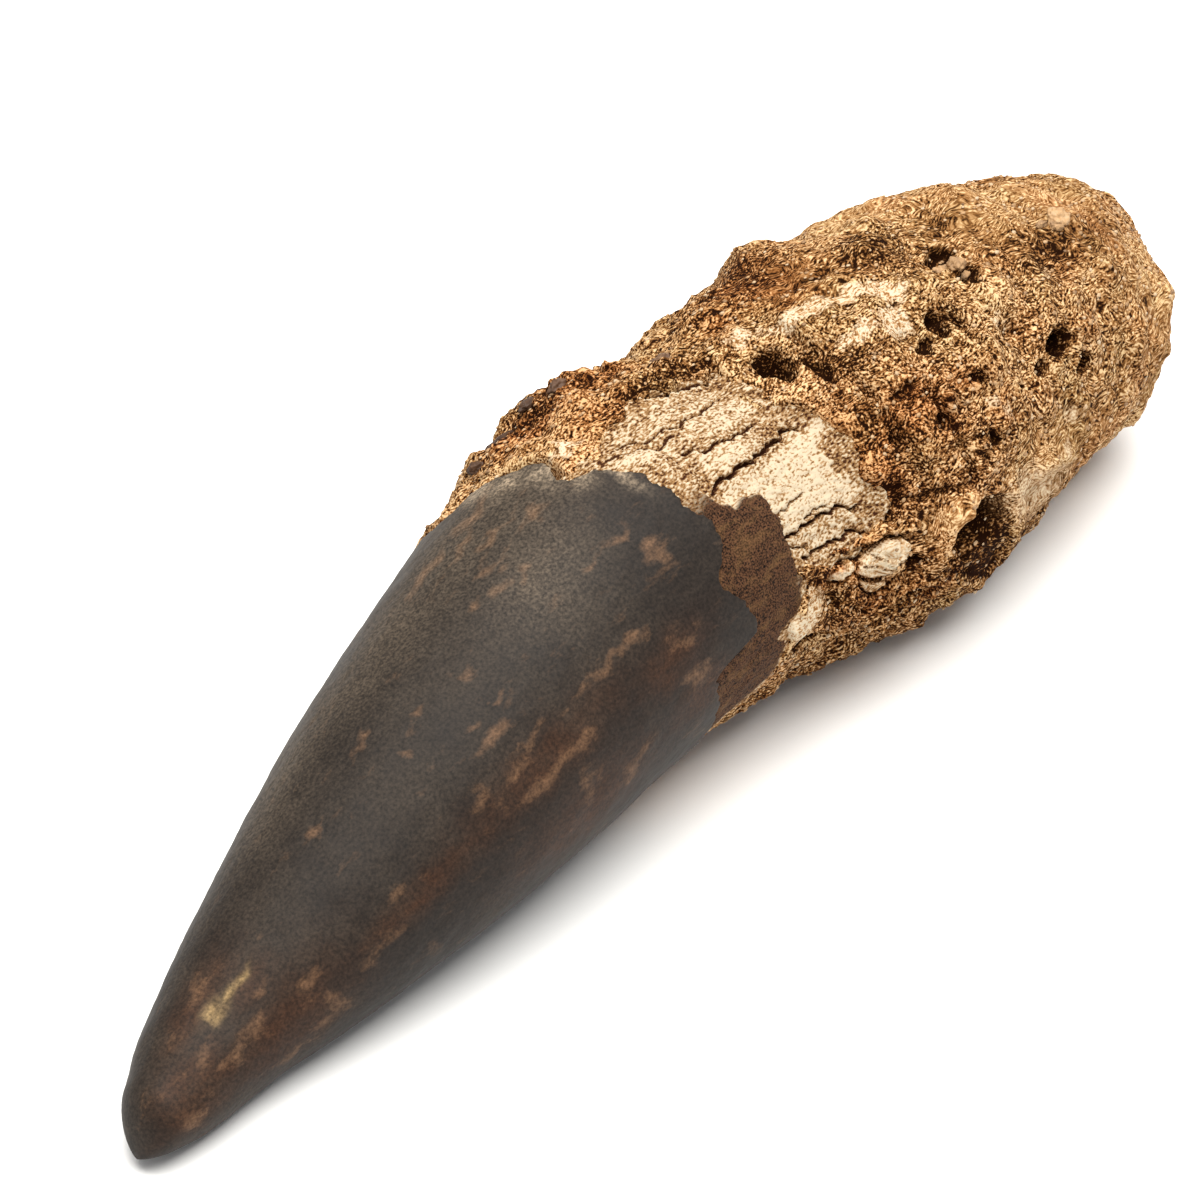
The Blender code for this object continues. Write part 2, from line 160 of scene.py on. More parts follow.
# Lumps, dents and pits of the root: (x, angle, height or depth, half length, half width)
LUMPS = [
    (54.2, -54, 0.9, 1.8, 1.8), (59.5, -52, 1.0, 2.2, 2.2), (60.8, -34, 0.7, 2.4, 2.2),
    (57.4, -24, 0.6, 2.6, 2.4), (66.0, -38, 0.7, 3.0, 2.6), (76.0, -54, 0.8, 3.8, 3.0),
    (85.0, -41, 1.5, 2.6, 3.6), (89.5, -46, 0.6, 3.4, 4.0), (69.0, 114, -0.9, 4.5, 2.4),
    (80.3, 124, 0.5, 2.4, 2.8), (84.2, 122, 0.7, 2.2, 2.6), (71.0, 108, 0.8, 1.2, 1.2),
    (70.5, 80, 0.6, 2.6, 1.8), (77.6, 79, 0.9, 1.9, 1.2), (76.2, 90, 0.8, 0.9, 2.6),
    (91.6, 15.0, 0.5, 1.1, 0.7), (113.4, 72, 1.0, 2.0, 2.4), (114.2, 48, 0.8, 1.8, 2.0),
    (112.6, 92, 0.7, 1.8, 2.2), (105.3, 18.5, 0.5, 1.4, 1.0), (65.8, -10, 1.0, 4.6, 1.4),
    (71.5, -11, 0.8, 3.0, 1.6), (99.0, -30, 0.7, 4.0, 3.4), (103.0, 96, 0.5, 5.0, 3.4),
    (66.0, 98, 0.6, 2.4, 2.2), (79.5, -2, 0.5, 5.0, 1.2), (84.0, 99, 0.8, 1.2, 2.6),
    (72.2, 20, 0.5, 2.0, 2.4), (64.5, -95, 1.0, 5.0, 4.0), (78.0, -120, 0.9, 5.0, 4.5),
    (94.0, -100, 1.1, 5.0, 5.0), (104.0, -75, 0.9, 3.4, 3.4), (70.0, -165, 0.8, 3.4, 3.6),
    (60.5, 150, 1.0, 3.6, 3.4),
]
# Pits are painted darker by their depth, as painted shade
PITS = [
    (73.0, 6.8, 2.3, 1.1, 1.9), (75.0, 16.5, 1.2, 0.8, 1.8), (92.9, 8.0, 1.3, 1.6, 0.9),
    (92.5, 20.5, 1.2, 1.2, 1.0), (85.6, 27.5, 1.6, 1.1, 1.2), (83.0, 31.5, 0.9, 1.1, 0.6),
    (95.6, 53.3, 2.3, 1.4, 1.1), (97.6, 65, 1.9, 1.2, 0.8), (92.6, 57.5, 1.0, 0.8, 0.6),
    (83.5, 67, 1.2, 1.0, 0.6), (80.4, 91.5, 2.0, 3.5, 2.5), (73.6, 89.2, 1.0, 0.9, 0.6),
    (75.4, 49, 0.8, 0.7, 1.0), (79.9, 52, 0.8, 0.8, 0.8), (78.5, 38, 0.6, 1.6, 0.5),
    (84.9, 47, 0.7, 0.6, 0.7), (88.8, 58, 0.6, 0.6, 0.5), (72.6, 63, 0.8, 1.0, 1.8),
    (67.0, 75.5, 0.7, 2.4, 0.7), (62.6, 103, 0.7, 1.5, 1.2), (74.0, -80, 1.8, 2.2, 2.0),
    (88.0, -112, 1.6, 1.8, 2.4), (99.0, -125, 1.4, 1.5, 1.5), (82.0, -72, 1.2, 1.4, 1.4),
]
# Parts of a pit's radius at which its floor ends and its rim begins
PIT_FLOOR, PIT_RIM = 0.65, 1.25
# Shallow facets that square off the broken end and the lower edge, in the same order as the lumps
END_FACETS = [
    (115.0, 41, -1.1, 2.6, 2.6), (114.4, 54, -0.5, 2.0, 2.0), (113.7, 73, 0.6, 1.4, 1.3),
    (77.5, 118, -1.0, 4.0, 3.0), (56.0, 118, -0.9, 3.0, 3.0), (109.0, 100, -0.5, 3.0, 2.0),
    (98.0, 120, -1.1, 6.0, 3.6), (66.0, 124, -0.7, 5.0, 3.0),
]
# Small lumps and pits at random places: how many, where, how wide, and height and stretch by the width
SCATTERED = 150
SCATTER_SEED = 11
SCATTER_FROM, SCATTER_TO = 50, 114
SCATTER_SIZES = (0.9, 2.4)
SCATTER_HEIGHTS = [0.3, 0.45, -0.45]
SCATTER_STRETCH = (0.7, 1.3)

# Sandstone: where it begins, how its edge along the dentine slopes, and where it starts past the enamel
CRUST_FROM, CRUST_EDGE, CRUST_BEHIND_ENAMEL = 45.0, 0.25, (0.2, 0.9)
# Where the two lengths of the sandstone meet
SEAM_AT, SEAM_OVERLAP, SEAM_SINK = 82.0, 0.2, 0.006
# Craggy places, as soft patches, with the crumbs and lumps there, and the grooves around the tooth
CRAG_PATCHES = [
    (57, -42, 5, 5), (64, -30, 6, 4), (69, -11, 4, 2), (75, 48, 3, 6), (77, 36, 4, 4), (74, 26, 2.5, 3),
    (82, 50, 4, 4), (88, 30, 4, 4), (92, 14, 3, 3), (82, 66, 4, 3), (67, 95, 5, 4), (76, 104, 6, 4),
    (72, 78, 4, 2), (76, 6, 3, 3), (97, 58, 3, 3), (80, -110, 8, 8), (95, -140, 8, 8), (65, 170, 8, 8),
    (75, 140, 8, 6), (70, -75, 6, 6),
]
CRUMBS, CRUMB_EDGE, CRUMB_MIDDLE = (1.5, 0.30), 0.45, 0.6
CRAG_LUMPS, CRAG_GROOVES = (1.1, 0.25, 3), (1.5, 1.0, 2, 1.4)
GROOVE_DEPTH, GROOVE_SIDES = 0.9, (0.25, 0.50)

# Stones held in the sandstone: (x, angle, half length, half width, height, tone from red-brown to white)
STONES = [
    (52.9, -49, 0.8, 0.6, 0.5, 0.24), (56.6, -52, 1.8, 0.7, 0.4, 0.16), (59.6, -46, 1.0, 0.6, 0.4, 0.20),
    (60.7, -34, 0.9, 0.5, 0.5, 0.34), (91.1, 13.2, 0.8, 0.5, 0.4, 0.64), (105.6, 18.5, 0.9, 0.8, 0.5, 0.70),
    (92.1, 15.6, 0.7, 0.6, 0.45, 0.61), (92.9, 18.2, 0.6, 0.4, 0.3, 0.63),
    (105.0, 20.5, 0.6, 0.5, 0.4, 0.62), (104.0, 17, 0.6, 0.3, 0.3, 0.6), (69.6, -24, 0.9, 0.8, 0.4, 0.45),
    (76, -88, 1.2, 0.9, 0.6, 0.5), (90, -118, 1.0, 1.0, 0.6, 0.7),
]
# Lumps of a stone as (how many across it, share of the height), and the most that it is turned
STONE_BUMPS, STONE_SPIN = [(1.4, 1.0), (4.0, 0.45)], 0.25
# Each stone takes its lumps from another place in the noise, up to this far away
STONE_SHIFT = 90
GRAIN_LUMPINESS, PEBBLE_LUMPINESS = 0.4, 0.45
# Loose grains: where they may lie, and how far from the floor, the dentine and the enamel
GRAINS_FROM, GRAINS_TO = 47.0, 118.5
GRAINS_ABOVE, GRAINS_OFF_DENTINE, GRAINS_OFF_ENAMEL = 1.0, 0.4, 0.8
# Their width by the usual one, their length and height by the width, and their tone
GRAIN_SIZES, GRAIN_LENGTHS, GRAIN_HEIGHTS, GRAIN_TONES = (0.6, 1.15), (1.0, 1.5), (0.4, 0.8), (0.55, 0.85)

# Cracked cream nodule and the flake beside it, as (x, angle) outlines, and the cracks across it
SHARDS = [
    [(67.8, 81.5), (68.3, 78.6), (69.1, 76.6), (70.2, 74.9), (71.4, 74.8), (72.6, 76.2), (73.3, 79.6),
     (72.9, 82), (71.6, 83), (70.8, 84.8), (69.8, 85.2), (68.8, 84)],
    [(67.9, 83.6), (68.8, 86), (69.8, 87.2), (70.4, 87.2), (70.4, 89), (69.5, 91), (68.7, 89.4),
     (68.1, 86.4)],
    [(65.4, 83), (66.3, 79.4), (67.6, 76.4), (68.0, 77.2), (67.2, 80.4), (66.3, 83)],
]
NODULE_CRACKS = [[(69.4, 76.4), (70.2, 79.6), (71.6, 83)], [(68.2, 79.4), (69.6, 81), (70.9, 84.4)]]
SHARD_HEIGHT, SHARD_GAP, CRACK_HALF = 0.4, 0.11, 0.03
# Distances into a shard over which it rises, takes its colour and loses the unevenness around it
SHARD_EDGE, SHARD_TINT_EDGE, SHARD_CALM_FROM, SHARD_CALM = (-0.1, 0.2), (-0.1, 0.15), 0.3, 0.7
# Hollow low on the camera's side, as an (x, angle) outline; its depth is painted dark as painted shade
HOLLOW = [
    (76.6, 90), (76.9, 84), (78.3, 80), (81.2, 84), (84.0, 93), (84.9, 104), (85.7, 116), (84.0, 124),
    (79.0, 108), (76.6, 98),
]
HOLLOW_DEPTH, HOLLOW_SOFTNESS = 0.9, 0.5

# Long folds of the sandstone, and crevices where the height is below zero, which are painted dark as painted
# shade:
# ((x, angle) points, half width, height)
FOLDS = [
    ([(66.4, 110), (68.4, 105), (70.1, 99), (71.3, 94), (72.8, 90.5), (74.4, 90)], 0.38, 0.55),
    ([(63.0, 106), (66.0, 99), (68.4, 93.5), (70.4, 91.6), (71.6, 89.2)], 0.24, -0.45),
    ([(71.4, 88.4), (72.6, 86.8), (73.6, 87), (74.6, 89)], 0.30, -0.9),
    ([(66.0, 107.5), (69.0, 101), (70.6, 96.6), (72.2, 93.2), (74.6, 92.8)], 0.20, -0.35),
    ([(66.8, 113), (68.6, 108), (70.8, 102.5), (72.3, 98.5), (74.1, 97.5), (76.9, 99), (79.4, 104)],
     0.40, 0.55),
    ([(67.4, 116), (69.8, 109), (71.6, 105), (73.6, 101), (75.6, 103), (78.4, 109)], 0.28, -0.55),
    ([(69.0, 119), (71.5, 111), (74.0, 107), (76.6, 110), (79.0, 116)], 0.45, 0.5),
    ([(71.5, 118), (74.5, 113), (77.5, 118)], 0.26, -0.4),
    ([(61.5, 104), (64.0, 98), (66.6, 92.5), (68.0, 91.6)], 0.30, 0.4),
    ([(60.5, 106), (62.6, 101.5), (65.0, 95.5)], 0.22, -0.35),
    ([(79.4, 77), (77.4, 79), (76.2, 84), (75.8, 91)], 0.90, 0.6),
    ([(61.0, -7), (64.0, -8), (67.0, -8), (70.0, -6.5)], 0.45, -0.8),
    ([(68.0, 73), (70.5, 72), (72.6, 73.2), (74.0, 76.4)], 0.40, 0.35),
    ([(67.6, 75.4), (70.0, 73.4), (72.2, 74.0), (73.6, 77.2)], 0.18, -0.45),
    ([(74.0, -24), (78.0, -21), (81.0, -13), (83.5, -9)], 0.50, -0.4),
    ([(62.0, -40), (66.0, -34), (70.0, -31)], 0.40, 0.4),
    ([(55.5, -30), (58.5, -26), (61.5, -22)], 0.35, -0.5),
    ([(57.0, -36), (61.0, -32), (65.0, -25)], 0.25, -0.35),
    ([(63.0, -22), (68.0, -19), (73.0, -15)], 0.30, -0.35),
    ([(76.5, -10), (80.5, -5), (84.0, 1)], 0.28, -0.35),
    ([(79.0, 60), (82.5, 63), (85.5, 66)], 0.26, -0.35),
    ([(73.5, 66), (76.5, 69), (79.5, 73)], 0.30, -0.4),
]

# Whitest dentine, as (x, angle) outlines with how white each is
WHITE_PANELS = [
    ([(60.8, 14.5), (62.0, 11.5), (64.5, 10.2), (66.5, 9.6), (68.2, 9), (69.0, 12), (68.6, 17), (67.4, 20),
      (64.5, 20.5), (62.0, 19), (60.4, 17)], 0.65),
    ([(56.5, -1), (58.0, -3.5), (62.0, -4), (65.5, -2), (67.3, 2), (67.5, 6.5), (65.0, 9), (61.0, 10),
      (59.0, 7.5), (57.0, 3)], 0.35),
    ([(60.2, 22), (61.5, 25), (65.0, 24.5), (65.5, 28), (64.0, 31), (61.5, 33), (59.8, 32)], 0.9),
    ([(54.4, 5.5), (57.0, 9), (59.5, 13.5), (60.6, 17.5), (58.8, 17), (56.3, 13), (54.8, 10.5)], 0.8),
    ([(58.2, 41), (60.0, 38.7), (62.5, 37.3), (65.5, 36), (68.0, 33), (70.0, 30.2), (72.0, 29.6), (71.8, 34),
      (70.5, 38), (70.6, 46), (71.6, 54), (71.5, 58), (68.0, 59), (65.5, 59.5), (62.2, 62), (62.2, 47),
      (61.0, 43.8), (59.9, 44.4), (59.0, 46)], 1.0),
    ([(62.0, 64), (66.0, 62), (70.5, 61.5), (71.0, 66), (68.5, 69), (64.0, 70), (62.2, 68)], 0.55),
]
WHITE_SOFTNESS = 0.45
# How much flakes and fibres add to the white, and how much raised places add to it and hollows take from it
# as painted light and shade
WHITE_FLAKES, WHITE_FIBRES, WHITE_RELIEF_SHADE = 0.25, 0.12, 0.35
# Pale calcite on the sandstone, as (x, angle) outlines and soft patches, and how pale patches and shards are
PALE_STREAKS = [
    [(74.6, -4.5), (77.0, -3), (80.0, 0), (83.0, 3.2), (85.4, 7), (85.8, 12), (84.4, 17), (83.8, 12),
     (82.0, 8), (79.0, 3.5), (76.0, 0.3)],
    [(81.4, 15.5), (83.6, 15), (84.2, 19), (83.6, 24), (82.0, 25), (81.0, 20)],
    [(77.0, 15.5), (80.0, 14.6), (80.8, 17), (79.8, 19), (77.6, 18.6)],
    [(61.4, 87), (62.4, 83), (63.8, 82), (64.2, 88), (63.2, 93), (62.6, 99), (61.0, 99), (59.2, 94.5),
     (58.6, 92.5), (60.4, 90.5)],
    [(72.4, -9), (74.4, -10), (75.2, -7), (73.6, -5), (72.4, -6)],
    [(53.3, -14), (54.6, -13.6), (55.3, -11), (54.8, -8), (53.6, -8.4)],
]
# The two widest flank patches, low on the camera's side, are partly calcite and partly painted light on the
# lower flank
PALE_FLANK = [
    (86.5, 90, 3.0, 2.6), (90, 97, 4, 3), (86.2, 61, 0.9, 0.7), (94.4, 77, 1.2, 0.8), (90.7, 36, 0.7, 0.5),
    (85.0, 56, 0.7, 0.5), (92.4, 86, 0.8, 0.6), (99.8, 33, 0.5, 0.5),
]
STREAK_SOFTNESS, FLANK_PALE, SHARD_PALE = 0.5, 0.6, 0.8
# Tints of the sandstone: soft patches as (x, angle, half length, half width in mm)
RUST_PATCHES = [
    (56, -38, 4, 4), (59, -28, 5, 4), (64, -28, 6, 3), (79, -6, 3, 1.0), (80.5, -15, 3, 2.0),
    (78, -30, 5, 3), (69.5, 73, 3, 0.8), (58, -10, 4, 2.5), (61, 34.5, 4, 0.5), (67, 26, 2.4, 1.0),
    (57, 2, 2, 0.7), (84.5, 47, 3, 1.6), (56.5, 63, 1.2, 2.4), (71, 95, 4, 2), (76, 109, 4, 2),
    (75, -130, 9, 8), (76, -20, 5, 2.5), (73, 50, 3, 4), (86, 58, 2, 2), (66, 80, 4, 1.5), (78, 45, 4, 4),
    (72, 36, 2.4, 2.2), (63, 24, 3, 0.4),
]
# Dark patches are partly darker sandstone and partly painted shade: under the ledge above the bare panel, in
# the hollow and along the lower edge; two large ones darken the underside
DARK_PATCHES = [
    (73.8, 38, 1.2, 3), (73.2, 58, 1.0, 3), (75.5, 70, 2.2, 1.2), (58, -42, 4, 3), (63, -28, 3, 1.6),
    (66, -7.5, 4.4, 0.9), (60, -7, 3.4, 1.2), (68, -14, 3, 2), (81, -32, 3.6, 3.4), (80.4, 92, 3.6, 2.5),
    (75, 16.5, 1.2, 2.0), (75.4, 50, 1.4, 1.8), (79.5, 40, 2.2, 1.1), (73.5, 60, 2.0, 1.4),
    (74, 114, 6, 3.5), (66, 75.5, 3.4, 1.1), (63, 78, 2, 1.5), (82, 66, 2.4, 1.2), (86, 27, 1.4, 1.4),
    (82, 103, 3, 3), (83, 115, 3, 2.4), (92.8, 8, 1.8, 1.0), (92.5, 20.5, 1.4, 1.0), (78, 103, 6, 2.4),
    (69, 92, 3.6, 1.4), (65, 95, 2.2, 2.0), (80, 52, 1.2, 1.4), (88, -6, 3.6, 2.2), (97, -3, 2.6, 1.0),
    (103, 27, 7, 2.0), (96, 52, 2.2, 1.6), (90, 150, 14, 10), (66, 160, 8, 8), (76, 22, 2.0, 1.2),
]
# The patches at (86.5, 90) and (90, 84) on the lower flank are partly calcite and partly painted light
PALE_PATCHES = [
    (77.6, 79, 1.8, 1.2), (76.4, 84, 1.4, 1.8), (76.0, 89, 1.0, 1.6), (52.5, -13, 1.8, 1.6),
    (54.5, -12, 1.6, 2.0), (58, -14, 3, 2.0), (53, -30, 3, 2.0), (86.5, 90, 3.4, 2.6), (90, 84, 4, 2.4),
    (104, -4, 7, 3.0), (93, -28, 7, 3.2), (109, 6, 5, 4), (92, 30, 3.4, 2.0), (63, 98, 2, 2),
    (67, 80, 1.6, 0.8), (70.4, 80, 2.2, 1.4), (70.6, 86, 2.4, 1.0), (87, 57, 1.8, 1.2),
    (90.8, 36, 1.0, 0.5), (92, 34, 1, 0.7), (103, 42, 1.4, 0.8), (110, 5, 5, 3), (106, 20, 3, 2),
    (95, -110, 9, 7), (105, 130, 8, 8), (112, 60, 4, 5), (92, 13.5, 1.2, 0.7), (73, 33, 1.5, 1.5),
]
CALM_PATCHES = [
    (77.3, 81, 2.4, 2.2), (94, 92, 9, 5), (110, 10, 9, 12), (96, -30, 8, 5), (112, 90, 8, 10),
    (104, -70, 10, 9), (100, 0, 8, 5), (82, -12, 4, 4),
]
ROCK_TINTS = {"rust": RUST_PATCHES, "dark": DARK_PATCHES, "pale": PALE_PATCHES, "calm": CALM_PATCHES}
# Painted shade in pits, crevices and the hollow: how fast it darkens with their depth, and the darkest that
# it gets
PIT_SHADE_RATE, DARKEST_PIT_SHADE = 1.8, 1.6

# Tan flecks of the enamel, its scar behind the tip, its reddish stains and its darkest clouds, with long
# bands of them darkening the lower side and the underside
FLECK_PATCHES = [
    (46, -12, 2.4, 0.50), (42.3, -6, 1.0, 0.9), (43, -2, 0.7, 0.5), (48, -4, 0.8, 0.9), (39.5, 0, 0.5, 0.7),
    (42, 4, 1.2, 0.45), (43.6, 7, 0.9, 0.5), (30.5, 8, 0.8, 0.4), (28.2, 16, 0.5, 0.5),
    (35.3, 13, 0.7, 0.5), (32.5, 30, 0.9, 0.4), (35.0, 28.5, 0.3, 0.2), (33, 38, 1.6, 0.6),
    (36.7, 40, 1.1, 0.35), (50.2, 24.5, 1.2, 0.4), (51.2, 34, 0.9, 0.7), (51.8, 39.5, 0.7, 0.9),
    (46.8, 22.5, 0.9, 0.35), (35.2, 48, 1.9, 0.4), (41, 49.5, 4.0, 0.4), (46.4, 51, 1.3, 0.6),
    (21.8, 54, 0.8, 0.6), (30, 52, 0.8, 0.7), (33, 54.5, 1.6, 0.5), (35, 65, 3.2, 0.6),
    (39, 63.5, 1.4, 0.7), (31, 60, 0.8, 0.8), (49.6, 65, 1.6, 0.4), (43, 90, 1.0, 0.9), (50, 79, 1.7, 0.7),
    (42.4, 95, 0.5, 0.5), (15.8, 80, 0.9, 1.2), (38, 79, 0.8, 2.0), (27, -3, 1.0, 0.4), (21, 1, 0.6, 0.5),
    (47.5, -28, 3, 0.9), (41, -30, 3, 0.7), (44, -22, 1.5, 0.5), (38, -150, 5, 1.0), (30, -120, 4, 1.2),
    (44, 165, 3, 0.8), (46, -95, 3, 1.0), (24, 160, 5, 0.7), (40, -75, 3.6, 0.6), (7.6, 57, 1.2, 0.7),
    (9.9, 50, 0.9, 0.7), (14.0, 55, 0.9, 0.6), (4.6, 66, 1.0, 0.7), (3.2, 80, 0.9, 0.7),
    (11.8, 98, 1.3, 0.6), (15.5, 85, 1.4, 0.7), (8.8, -6, 1.2, 0.6), (5.6, 30, 1.2, 0.7),
    (11.6, 35, 1.0, 0.6), (19, 72, 1.6, 0.6),
]
SCAR_PATCHES = [(8.4, 14, 0.7, 0.5), (8.5, 21, 0.6, 0.4), (9.7, 18, 0.7, 0.3), (10.9, 19, 0.7, 0.25)]
RED_PATCHES = [
    (3, 70, 2.2, 1.6), (3.5, 35, 2.5, 2.0), (5, 55, 3, 2.5), (11, 28, 2.0, 1.2), (24, 64, 6, 1.2),
    (35, 60, 8, 2.0), (38, 92, 7, 3), (48, 68, 3.5, 2), (12, 70, 5, 3), (50, 88, 3, 2), (8, 0, 4, 1.5),
]
CLOUD_PATCHES = [
    (41, 79, 2.2, 1.6), (49, 92, 4, 4), (52, 62, 2, 3), (35, 75, 2.5, 1.4), (22, 100, 10, 4),
    (45, 108, 6, 3), (50.5, 46, 1.2, 1.0), (30, 150, 20, 10), (30, 84, 22, 5), (46, 74, 9, 7),
    (52, 35, 4, 5), (51, 68, 5, 8),
]
CROWN_TINTS = {"fleck": FLECK_PATCHES, "scar": SCAR_PATCHES, "red": RED_PATCHES, "cloud": CLOUD_PATCHES}
# Pale sand rubbed into the chipped edge, and painted sheen as pale patches on the upper left and top of the
# crown
WASH_PATCHES = [
    (51.6, -11, 1.1, 1.5), (50.3, -24, 1.4, 1.2), (52.4, 0, 0.8, 1.2), (54.4, 9, 0.6, 2.0),
    (49.5, -34, 1.0, 1.5),
]
SHEEN_PATCHES = [(44, -28, 9, 5), (36, -32, 10, 4), (48, -12, 4, 5), (26, -40, 10, 3), (44, 10, 5, 4)]
WASH_SHARE, SHEEN_SHARE = 0.6, 0.13

# The photograph's viewing angle, worked out from the outline of the tooth
CAMERA_AZIMUTH = -51.53
CAMERA_ELEVATION = 37.0
CAMERA_DISTANCE = 370.0
CAMERA_TARGET = (61.2, 9.17, 8.0)
CAMERA_LENS = 148.1
CAMERA_SENSOR = 36.0
CAMERA_NEAR = 0.01
# The lamp's place as the camera sees it, its size in metres, its watts and its colour
LAMP_RIGHT, LAMP_UP, LAMP_AHEAD = 0.05, 0.62, -0.04
LAMP_SIZE, LAMP_WATTS, LAMP_COLOUR = 0.70, 10.5, "FFFDF8"
ROOM_COLOUR, ROOM_STRENGTH = "FFFFFF", 0.45
# Half the floor's width in metres, and how far it lies below the tooth, in millimetres
FLOOR_HALF, FLOOR_DROP = 3.0, 0.02


def linear(code):
    """A hex sRGB colour as linear red, green, blue and alpha"""
    parts = [int(code[i:i + 2], 16) / 255 for i in (0, 2, 4)]
    return tuple(c / 12.92 if c <= 0.04045 else ((c + 0.055) / 1.055) ** 2.4 for c in parts) + (1.0,)


def colour_setting(name, description, code):
    """A colour that a user can change in the panel"""
    return bpy.props.FloatVectorProperty(name=name, description=description, subtype="COLOR", size=4,
                                         min=0, max=1, default=linear(code))


def size_setting(name, description, millimetres):
    """A length that a user can change in the panel"""
    return bpy.props.FloatProperty(name=name, description=description, unit="LENGTH", subtype="DISTANCE",
                                   precision=5, min=0, default=millimetres * MM)


class FossilSizes(bpy.types.PropertyGroup):
    """Sizes of the fossil's surface"""

    enamel_thickness: size_setting("Enamel thickness", "Step down from the enamel to the dentine", 0.20)
    crust_depth: size_setting("Sandstone depth", "How deep the sandstone reaches below bare dentine", 2.6)
    grain_size: size_setting("Grain size", "Width of a typical sand grain", 0.36)
    grain_count: bpy.props.IntProperty(name="Loose grains", description="Sand grains tried on the whole root",
                                       min=0, default=3500)


class FossilColours(bpy.types.PropertyGroup):
    """Colours of the fossil and of its stage"""

    enamel: colour_setting("Enamel", "Grey brown of most of the crown", "2D2620")
    enamel_dark: colour_setting("Enamel, dark", "Darker clouds in the enamel", "201A16")
    enamel_fleck: colour_setting("Enamel flecks", "Tan streaks in the enamel", "6A4E38")
    enamel_red: colour_setting("Enamel stain", "Iron stain at the tip and along the flank", "3E2413")
    # This colour is also painted on the upper crown as sheen
    dust: colour_setting("Dust", "Pale sand rubbed into the enamel", "857562")
    scar: colour_setting("Scar", "Yellowish scar behind the tip", "7C6645")
    dentine: colour_setting("Dentine", "Cream of the bare dentine", "BAAA91")
    dentine_tan: colour_setting("Dentine, stained", "Tan of the stained dentine", "8A6740")
    dentine_dark: colour_setting("Dentine, dark", "Brown in the pores and fissures of the dentine", "331605")
    neck: colour_setting("Neck", "Brown of the smooth band below the enamel", "3B2618")
    sand_white: colour_setting("Sandstone, pale", "Tops of the palest grains", "D2B690")
    sand_light: colour_setting("Sandstone, light", "Tops of the grains", "AE8A62")
    sand: colour_setting("Sandstone", "Main colour of the sandstone", "7A532E")
    sand_dark: colour_setting("Sandstone, dark", "Gaps between the grains", "1C0A01")
    rust: colour_setting("Rust", "Tint of the iron-rich patches of the sandstone", "F2DCCB")
    tint_cool: colour_setting("Tint, cool", "Tint of the sandstone where it holds least iron", "F0F0E6")
    tint_warm: colour_setting("Tint, warm", "Tint of the sandstone where it holds most iron", "FFF4EA")
    pebble: colour_setting("Pebble", "Grey brown of the rounded pebbles", "5A4130")
    calcite: colour_setting("Calcite", "Pale streaks across the sandstone", "C3B49B")
    floor: colour_setting("Floor", "Pale floor", "F6F6F6")


def through(knots, place):
    """The smooth curve through (place, value) knots"""
    at, value = np.array(knots, float).T
    slope = np.gradient(value, at)
    i = np.clip(np.searchsorted(at, place) - 1, 0, len(at) - 2)
    gap = at[i + 1] - at[i]
    t = np.clip((place - at[i]) / gap, 0, 1)
    start = value[i] * (1 + 2 * t) + slope[i] * gap * t
    end = value[i + 1] * (3 - 2 * t) - slope[i + 1] * gap * (1 - t)
    return start * (1 - t) ** 2 + end * t ** 2


def smooth(low, high, value):
    """0 below low, 1 above high and an even curve between them"""
    t = np.clip((value - low) / (high - low), 0, 1)
    return t * t * (3 - 2 * t)


def half_width(x):
    """Half the width at x, rounded off at the tip and at the broken end"""
    into_tip = np.clip(1 - x / TIP_ROUNDING, 0, 1)
    into_end = np.clip((x - LENGTH + END_ROUNDING) / END_ROUNDING, 0, 1)
    return through(HALF_WIDTH, x) * np.sqrt(1 - into_tip ** 2) * np.sqrt(1 - into_end ** 2)


def centre_z(x):
    """Height of the middle; past the last full section the end tapers to it from all sides"""
    return through(UNDERSIDE, x) + HEIGHT_TO_WIDTH * half_width(np.minimum(x, END_RISE_FROM))


def away(x, angle, from_x, from_angle):
    """Distances along and around the tooth from one place on it"""
    turn = (angle - from_angle + 180) % 360 - 180
    return x - from_x, np.radians(turn) * through(HALF_WIDTH, from_x)


def line_distance(x, angle, line):
    """Distance from a line drawn on the tooth as (x, angle) points"""
    points = np.array([(at_x, math.radians(at_angle) * ROOT_RADIUS) for at_x, at_angle in line])
    here = np.stack([x, np.radians(angle) * ROOT_RADIUS], -1)
    nearest = np.full(x.shape, np.inf)
    for start, end in zip(points, points[1:]):
        run = end - start
        part = np.clip((here - start) @ run / (run @ run), 0, 1)
        nearest = np.minimum(nearest, np.linalg.norm(here - start - part[..., None] * run, axis=-1))
    return nearest


def inside(x, angle, outline):
    """True where a place lies within an (x, angle) outline"""
    hit = np.zeros(x.shape, bool)
    for (x0, a0), (x1, a1) in zip(outline, outline[1:] + outline[:1]):
        if a0 != a1:
            crosses = (a0 > angle) != (a1 > angle)
            hit ^= crosses & (x < x0 + (angle - a0) * (x1 - x0) / (a1 - a0))
    return hit


def signed(x, angle, outline):
    """Distance from an outline: above zero inside it and below zero outside"""
    distance = line_distance(x, angle, outline + outline[:1])
    return np.where(inside(x, angle, outline), distance, -distance)


def window(x, angle, outline, edge):
    """1 well inside an outline, 0 well outside it and a slope across its edge"""
    return smooth(-edge, edge, signed(x, angle, outline))


def windows(x, angle, outlines, edge):
    """Several outlines, each with its strength; the strongest shows where they overlap"""
    return np.max([strength * window(x, angle, outline, edge) for outline, strength in outlines], axis=0)


